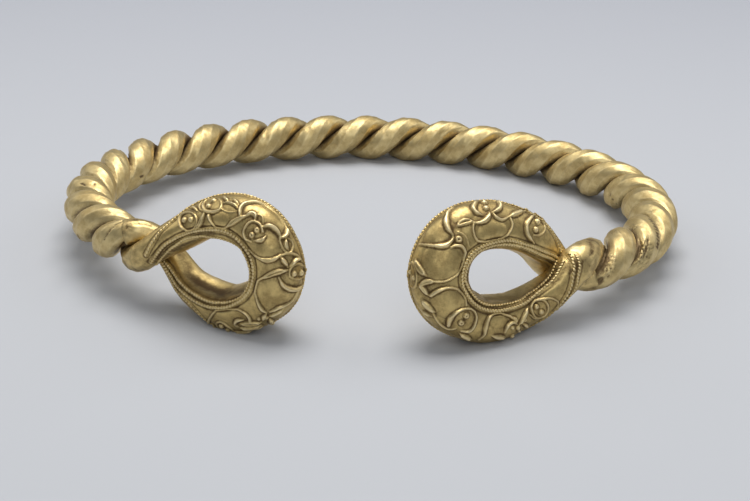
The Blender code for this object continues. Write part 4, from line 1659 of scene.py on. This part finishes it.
@dataclass
class TwistedRope:
    """The two rods, how they are wound and how their surface is worked.

    Sizes are in metres.  Where the dirt and painted shade of the valley between the rods begins and where
    wear ends is in shares of the half turn from the outer side of a rod to the other rod, and an edge is in
    shares of half a facet.
    """

    spine: Spine
    seam: float = 0.009
    rod_radius: float = 0.00355
    breadth: float = 1.13
    facets: float = 8.0
    facet_edge: float = 0.52
    contact: float = 0.00018
    contact_power: float = 4.0
    guide_step: float = 0.00026
    points_around: int = 64
    end_overlap: float = 0.0006
    tuck: float = 0.00012
    tuck_from: float = -0.0001
    tuck_fade: float = 0.0011
    hammering: Unevenness = Unevenness(0.0042, 0.000075, 11)
    planishing: Unevenness = Unevenness(0.0016, 0.000026, 12)
    ragged: Unevenness = Unevenness(0.0007, 0.001, 13, 40)
    strand_squeeze: float = 0.12
    hammer_squeeze: float = 0.40
    open_grime: float = 0.10
    # painted shade and dirt on the side of each rod that faces the other rod
    valley_dirt_and_shade: float = 0.90
    valley_shade_from: float = 0.40
    valley_shade_fade: float = 0.26
    ragged_dirt_and_shade: float = 3.0
    edge_wear: float = 0.16
    edge_from: float = 0.72
    edge_fade: float = 0.28
    wear_end: float = 0.40
    wear_fade: float = 0.2

    def guide(self, name: str) -> Piece:
        """Line along the middle of the rope between the seams, with its axes.

        Args:
            name: the guide's name.

        Returns:
            The guide line.
        """
        spine, hoop = self.spine, self.spine.hoop
        start, end = self.seam - self.end_overlap, spine.length - self.seam + self.end_overlap
        distance = np.linspace(start, end, int((end - start) / self.guide_step))
        points, outward, up = spine.at(distance)
        turning = hoop.turning().T
        return guide_line(name, hoop.to_rest(points), {"share": distance / spine.length,
                                                       "outward": outward @ turning, "up": up @ turning})

    def build(self, name: str, node: str, half_turn: int, tree: Tree,
              material: Material) -> Piece:
        """Wind one rod, work its surface and hand it over.

        Args:
            name: the piece's name.
            node: the plain rod that it stands for.
            half_turn: 0 for the rod in front at the crossings, 1 for the other.
            tree: the wound rod tree.
            material: its finish.

        Returns:
            The finished piece.
        """
        rod = grow(self.guide(name), tree, {
            "Half Turns": float(self.spine.half_turns), "Twist Drift": self.spine.twist_drift,
            "Start Angle": pi * half_turn, "Rod Offset": self.spine.rod_offset,
            "Rod Radius": self.rod_radius, "Facets": self.facets, "Facet Edge": self.facet_edge,
            "Breadth": self.breadth, "Contact": self.contact, "Contact Power": self.contact_power,
            "Points Around": self.points_around, "Material": material})
        self.work_surface(rod.data, half_turn)
        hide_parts(node)
        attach(rod, BODY)
        LOG.info("%s: %d faces", name, len(rod.data.polygons))
        return rod

    def work_surface(self, mesh: bpy.types.Mesh, number: int) -> None:
        """Make the rod uneven by hand, add its flaws and note its dirt and painted shade, its wear and its
        run.

        Args:
            mesh: the wound rod.
            number: 0 or 1, as its flaws name it.
        """
        points = read_out(mesh.vertices, "co", 3).astype(float)
        normals = read_out(mesh.vertices, "normal", 3).astype(float)
        share = read_out(mesh.attributes["share"].data, "value", 1)[:, 0]
        around = read_out(mesh.attributes["around"].data, "value", 1)[:, 0]
        distance = share * self.spine.length
        strand = np.stack([(distance + number) * STRAND_STRETCH, self.rod_radius * np.cos(around),
                           self.rod_radius * np.sin(around)], axis=-1)
        hammered = strand * np.array([self.hammer_squeeze, 1.0, 1.0])
        height = self.hammering.at(hammered) + self.planishing.at(strand)
        inner = np.abs(around) / pi
        # even dirt, and painted shade with dirt rising towards the other rod
        dirt_and_shade = self.open_grime + self.valley_dirt_and_shade * rise(inner, self.valley_shade_from, self.valley_shade_fade)
        rough = self.ragged.at(points)
        for flaw in (flaw for flaw in ROD_FLAWS if flaw.rod == number):
            inside = flaw.share(distance / MM, around, self.rod_radius / MM)
            height += inside * (flaw.height * MM + flaw.ragged * rough)
            # flaws add their dirt and painted shade, and a ragged patch is painted darker in its dips and
            # lighter on its bumps
            dirt_and_shade += inside * (flaw.dirt_and_shade - self.ragged_dirt_and_shade * flaw.ragged * rough / MM)
        from_seam = np.minimum(distance, self.spine.length - distance) - self.seam
        height -= self.tuck * (1.0 - rise(from_seam, self.tuck_from, self.tuck_fade))
        points += normals * height[:, None]
        points[:, 2] = np.maximum(points[:, 2], 0.0)
        mesh.vertices.foreach_set("co", points.astype(np.float32).ravel())
        off_edge = np.abs(np.mod(around / (2.0 * pi / self.facets), 1.0) - 0.5) * 2.0
        wear_and_highlight = (self.edge_wear * rise(1.0 - off_edge, self.edge_from, self.edge_fade)
                * (1.0 - rise(inner, self.wear_end, self.wear_fade)))
        store(mesh, {"dirt_and_shade": np.clip(dirt_and_shade, 0.0, 1.0), "wear_and_highlight": wear_and_highlight,
                     "strand": strand * np.array([self.strand_squeeze, 1.0, 1.0])})
        mesh.update()


@dataclass(frozen=True)
class Cable:
    """Sizes of one beaded cable and its bed, in metres, and the slant of its beads in radians."""

    pitch: float
    # How much dirt and painted shade lie in a loop's hollows, how much painted light and shade its channel
    # gets, and how far its high places are worn and painted with highlight.
    bead: Triple
    slant: float
    # above nought the channel is painted darker, as dirt and painted shade; below nought it is painted
    # lighter, as painted light
    lift: float
    seed: int
    # the ground next to raised work is painted darker, as dirt and painted shade
    bed_height: float = 0.00022
    bed_breadth: float = 1.05
    spread: float = 0.08
    line_pieces: int = 12
    # grooves and cracks, and the beds under the cables, are painted darker as dirt and painted shade

    def half_bed(self) -> float:
        """Half the breadth of the bed, a little more than that of the slanted beads."""
        # high places are painted lighter, as wear and painted highlight
        return self.bed_breadth * hypot(self.bead[0] * sin(self.slant), self.bead[1] * cos(self.slant))


@dataclass
class CastLoop:
    """A cast loop with its raised ornament and cable borders."""

    name: str
    node: str
    shape: LoopShape
    rope: TwistedRope
    designs: tuple[Ornament, ...]
    inner: tuple[Cable, Cable]
    outer: Cable
    cord: Cable
    patina_and_painted_light: PatinaAndPaintedLight
    hammered: Unevenness = Unevenness(0.0032, 0.00006, 23)
    worn: Unevenness = Unevenness(0.0050, 0.000022, 21)
    dented: Unevenness = Unevenness(0.0014, 0.000007, 22)

    def cable_lines(self) -> list[tuple[Path, Cable]]:
        """The line and the sizes of each cable, in the order that they are laid.

        Returns:
            A line and a cable for each.
        """
        lines = []
        for design in self.designs:
            lines += zip(design.inner_borders, self.inner)
            lines += [(path, self.outer) for path in design.outer_borders]
            lines += [(path, self.cord) for path in design.cords]
        return lines

    def build(self, tree: Tree, material: Material) -> list[Piece]:
        """Build the loop and its borders.

        Args:
            tree: the beaded cable tree.
            material: the finish of all of it.

        Returns:
            The finished pieces.
        """
        grid = LoopGrid(LoopSurface(self.shape, self.rope.spine), self.patina_and_painted_light)
        grid.ornament(self.designs)
        lines = self.cable_lines()
        for path, cable in lines:
            grid.add_band(path, cable.half_bed() / MM, cable.bed_height / MM)
        for path in (path for design in self.designs for path in design.cracks):
            grid.add_crack(path)
        grid.match_rods(self.rope, self.hammered)
        grid.shape_ground(self.worn, self.dented)
        pieces = [self.skin(grid, material)]
        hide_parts(self.node)
        for number, (path, cable) in enumerate(lines, start=1):
            name = f"{self.name}_cable_{number}"
            pieces.append(self.lay_cable(name, grid, path, cable, tree, material))
        for piece in pieces:
            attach(piece, BODY)
            LOG.info("%s: %d faces", piece.name, len(piece.data.polygons))
        return pieces

    def skin(self, grid: LoopGrid, material: Material) -> Piece:
        """Close the grid into a solid with a cap on each end.

        Args:
            grid: the worked grid.
            material: the finish.

        Returns:
            The loop without its cables.
        """
        points, dirt_and_shade, wear_and_highlight = grid.finished()
        rows, columns = points.shape[:2]
        index = np.arange(rows * columns).reshape(rows, columns)
        onward = np.roll(index, -1, axis=1)
        quads = np.stack([index[:-1], onward[:-1], onward[1:], index[1:]], axis=-1).reshape(-1, 4)
        start, end = rows * columns, rows * columns + 1
        caps = [(start, int(onward[0, k]), int(index[0, k])) for k in range(columns)]
        caps += [(end, int(index[-1, k]), int(onward[-1, k])) for k in range(columns)]
        centres = np.stack([points[0].mean(axis=0), points[-1].mean(axis=0)])
        piece = piece_from(self.name, np.concatenate([points.reshape(-1, 3), centres]),
                           {"dirt_and_shade": np.append(dirt_and_shade.ravel(), (1.0, 1.0)),
                            "wear_and_highlight": np.append(wear_and_highlight.ravel(), (0.0, 0.0))}, faces=quads.tolist() + caps)
        work = bmesh.new()
        work.from_mesh(piece.data)
        bmesh.ops.recalc_face_normals(work, faces=work.faces)
        work.to_mesh(piece.data)
        work.free()
        piece.data.polygons.foreach_set("use_smooth", [True] * len(piece.data.polygons))
        piece.data.materials.append(material)
        return piece

    def lay_cable(self, name: str, grid: LoopGrid, path: Path, cable: Cable,
                  tree: Tree, material: Material) -> Piece:
        """Lay one cable on its bed.

        Args:
            name: the piece's name.
            grid: the worked grid.
            path: the cable's line.
            cable: its sizes.
            tree: the beaded cable tree.
            material: its finish.

        Returns:
            The cable's beads as one piece.
        """
        places = smooth_line(path, False, cable.line_pieces)
        stations, angles = places[:, 0], places[:, 1]
        out = grid.surface.facing_at(stations, angles)
        lift = MM * grid.read(grid.height, places) + cable.lift
        middle = grid.surface.at(stations, angles) + lift[:, None] * out
        laid = grow(guide_line(name, middle, {"facing": out}), tree, {
            "Pitch": cable.pitch, "Bead": cable.bead, "Slant": cable.slant, "Spread": cable.spread,
            "Seed": cable.seed, "Material": material})
        for vertex in laid.data.vertices:
            vertex.co.z = max(vertex.co.z, 0.0)
        return laid


# --- the studio ---
@dataclass(frozen=True)
class Softbox:
    """A square softbox: its place, size, power and colour."""

    name: str
    place: Triple
    size: float
    power: float
    colour: Triple


@dataclass
class Studio:
    """Pale floor with painted shade far away, soft lights and the camera."""

    softboxes: tuple[Softbox, ...] = (
        Softbox("key_softbox", (0.02, 0.20, 0.93), 0.70, 8.0, (1.0, 0.98, 0.95)),
        Softbox("left_softbox", (-0.80, 0.35, 0.60), 0.80, 1.9, (1.0, 0.99, 0.97)),
        Softbox("right_softbox", (0.85, 0.35, 0.60), 0.80, 1.9, (1.0, 0.99, 0.97)),
        Softbox("front_softbox", (0.10, -0.95, 0.80), 0.90, 3.2, (0.96, 0.98, 1.0)))
    light_target: Triple = (0.0, 0.0, 0.01)
    floor_tone: Colour = (0.525, 0.54, 0.57, 1.0)
    # the floor is painted darker far away, as painted shade
    far_shaded_tone: Colour = (0.41, 0.425, 0.47, 1.0)
    floor_shade_fade: Fade = Fade(-0.10, 0.45)
    floor_roughness: float = 0.9
    floor_shine: float = 0.1
    floor_size: float = 6.0
    sky: Colour = (0.80, 0.85, 0.93, 1.0)
    sky_strength: float = 0.24
    camera_place: Triple = (0.0052, -0.4800, 0.2060)
    camera_target: Triple = (0.00185, -0.0426, 0.0143)
    camera_roll: float = radians(0.87)
    lens: float = 81.89
    sensor_width: float = 36.0

    def build(self, lowest: float) -> None:
        """Set up everything around the object, on a floor at its lowest height.

        Args:
            lowest: height of the floor.
        """
        self.lay_floor(lowest)
        for softbox in self.softboxes:
            self.light(softbox)
        bpy.context.scene.view_settings.view_transform = "Standard"
        self.sky_around()
        self.aim_camera()

    def lay_floor(self, lowest: float) -> None:
        """A pale, dull floor under the object, with painted shade that makes it a little darker far away.

        Args:
            lowest: its height.
        """
        half = 0.5 * self.floor_size
        corners = np.array([(-half, -half, lowest), (half, -half, lowest), (half, half, lowest),
                            (-half, half, lowest)])
        floor = piece_from("floor", corners, {}, faces=[(0, 1, 2, 3)])
        made = bpy.data.materials.new("pale floor")
        made.use_nodes = True
        shader = made.node_tree.nodes["Principled BSDF"]
        graph = Graph(made.node_tree)
        place = graph.node("ShaderNodeTexCoord", {}).outputs["Object"]
        depth = graph.node("ShaderNodeSeparateXYZ", {0: place}).outputs[1]
        # painted shade: the floor's colour fades to the darker far tone towards the back
        tone = graph.mixed(graph.ramp(depth, self.floor_shade_fade), self.floor_tone, self.far_shaded_tone)
        graph.feed(shader.inputs["Base Color"], tone)
        graph.feed(shader.inputs["Roughness"], self.floor_roughness)
        graph.feed(shader.inputs["Specular IOR Level"], self.floor_shine)
        floor.data.materials.append(made)

    def light(self, softbox: Softbox) -> None:
        """Put up one softbox, aimed at the object.

        Args:
            softbox: the light.
        """
        data = bpy.data.lights.new(softbox.name, "AREA")
        data.size, data.energy, data.color = softbox.size, softbox.power, softbox.colour
        lamp = bpy.data.objects.new(softbox.name, data)
        bpy.context.scene.collection.objects.link(lamp)
        lamp.matrix_world = self.aim(Vector(softbox.place), Vector(self.light_target), 0.0)

    def aim(self, place: Vector, target: Vector, roll: float) -> Matrix:
        """Matrix that puts something at a place and turns its front to a target."""
        turned = (target - place).to_track_quat("-Z", "Y").to_matrix().to_4x4()
        return Matrix.Translation(place) @ turned @ Matrix.Rotation(roll, 4, "Z")

    def sky_around(self) -> None:
        """An even pale surround."""
        world = bpy.data.worlds.new("studio")
        world.use_nodes = True
        background = world.node_tree.nodes["Background"]
        background.inputs["Color"].default_value = self.sky
        background.inputs["Strength"].default_value = self.sky_strength
        bpy.context.scene.world = world

    def aim_camera(self) -> None:
        """The camera, a little above the object and in front of it."""
        data = bpy.data.cameras.new("camera")
        data.lens, data.sensor_width = self.lens, self.sensor_width
        camera = bpy.data.objects.new("camera", data)
        bpy.context.scene.collection.objects.link(camera)
        place, target = Vector(self.camera_place), Vector(self.camera_target)
        camera.matrix_world = self.aim(place, target, self.camera_roll)
        bpy.context.scene.camera = camera


# --- this torc ---
LEFT_LOOP = LoopShape(
    side=-1, bend_from=radians(55.8), heading=radians(28.0), lean=radians(0.5), turn=radians(5.3),
    length=0.0411, first_height=0.0178, second_height=0.0167, first_fullness=1.15, second_fullness=0.60,
    widths=(0.0071, 0.0077, 0.0100, 0.0120, 0.0096, 0.0068, 0.0071),
    depths=(0.0071, 0.0090, 0.0150, 0.0152, 0.0150, 0.0090, 0.0071))
RIGHT_LOOP = LoopShape(
    side=1, bend_from=radians(47.5), heading=radians(25.9), lean=radians(11.0), turn=radians(-5.7),
    length=0.0408, first_height=0.0154, second_height=0.0166, first_fullness=0.54, second_fullness=0.93,
    widths=(0.0071, 0.0092, 0.0108, 0.0141, 0.0120, 0.0090, 0.0071),
    depths=(0.0071, 0.0090, 0.0146, 0.0156, 0.0146, 0.0090, 0.0071))
LEFT_INNER = (
    Cable(pitch=0.00098, bead=(0.00064, 0.00050, 0.00037), slant=0.45, lift=0.0, seed=31),
    Cable(pitch=0.00096, bead=(0.00062, 0.00046, 0.00035), slant=-0.45, lift=0.0, seed=32))
RIGHT_INNER = (
    Cable(pitch=0.00090, bead=(0.00074, 0.00041, 0.00037), slant=-0.62, lift=0.00005, seed=41),
    Cable(pitch=0.00090, bead=(0.00074, 0.00041, 0.00037), slant=0.62, lift=0.00005, seed=42))
LEFT_OUTER = Cable(pitch=0.00104, bead=(0.00069, 0.00044, 0.00034), slant=0.50, lift=-0.00002, seed=33,
                   bed_height=0.00006)
RIGHT_OUTER = replace(LEFT_OUTER, seed=43)
CORD = Cable(pitch=0.00084, bead=(0.00060, 0.00038, 0.00030), slant=0.55, lift=0.00003, seed=51,
             bed_height=0.00012)


def main() -> None:
    """Build the torc and its studio."""
    logging.basicConfig(level=logging.INFO, format="%(name)s: %(message)s")
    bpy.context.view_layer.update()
    grain, tone = WorkedGrain().group(), OldGoldTone().group()
    rod_gold, cast_gold = ROD_GOLD.material(grain, tone), CAST_GOLD.material(grain, tone)

    rope = TwistedRope(Spine(Hoop(), LEFT_LOOP, RIGHT_LOOP))
    winding = strand_tree()
    rope.build("first_rod", "rod_one", 0, winding, rod_gold)
    rope.build("second_rod", "rod_two", 1, winding, rod_gold)

    beading = cable_tree()
    # the left loop's channel is painted darker, as dirt and painted shade, and the right loop's lighter, as
    # painted light
    left = CastLoop("left_loop", "left_terminal", LEFT_LOOP, rope, (LEFT_ORNAMENT, BACK_ORNAMENT),
                    LEFT_INNER, LEFT_OUTER, CORD, PatinaAndPaintedLight(channel_light_and_shade=0.14))
    right = CastLoop("right_loop", "right_terminal", RIGHT_LOOP, rope, (RIGHT_ORNAMENT, BACK_ORNAMENT),
                     RIGHT_INNER, RIGHT_OUTER, CORD, PatinaAndPaintedLight(channel_light_and_shade=-0.22))
    left.build(beading, cast_gold)
    right.build(beading, cast_gold)

    Studio().build(lowest=0.0)


if __name__ == "__main__":
    main()
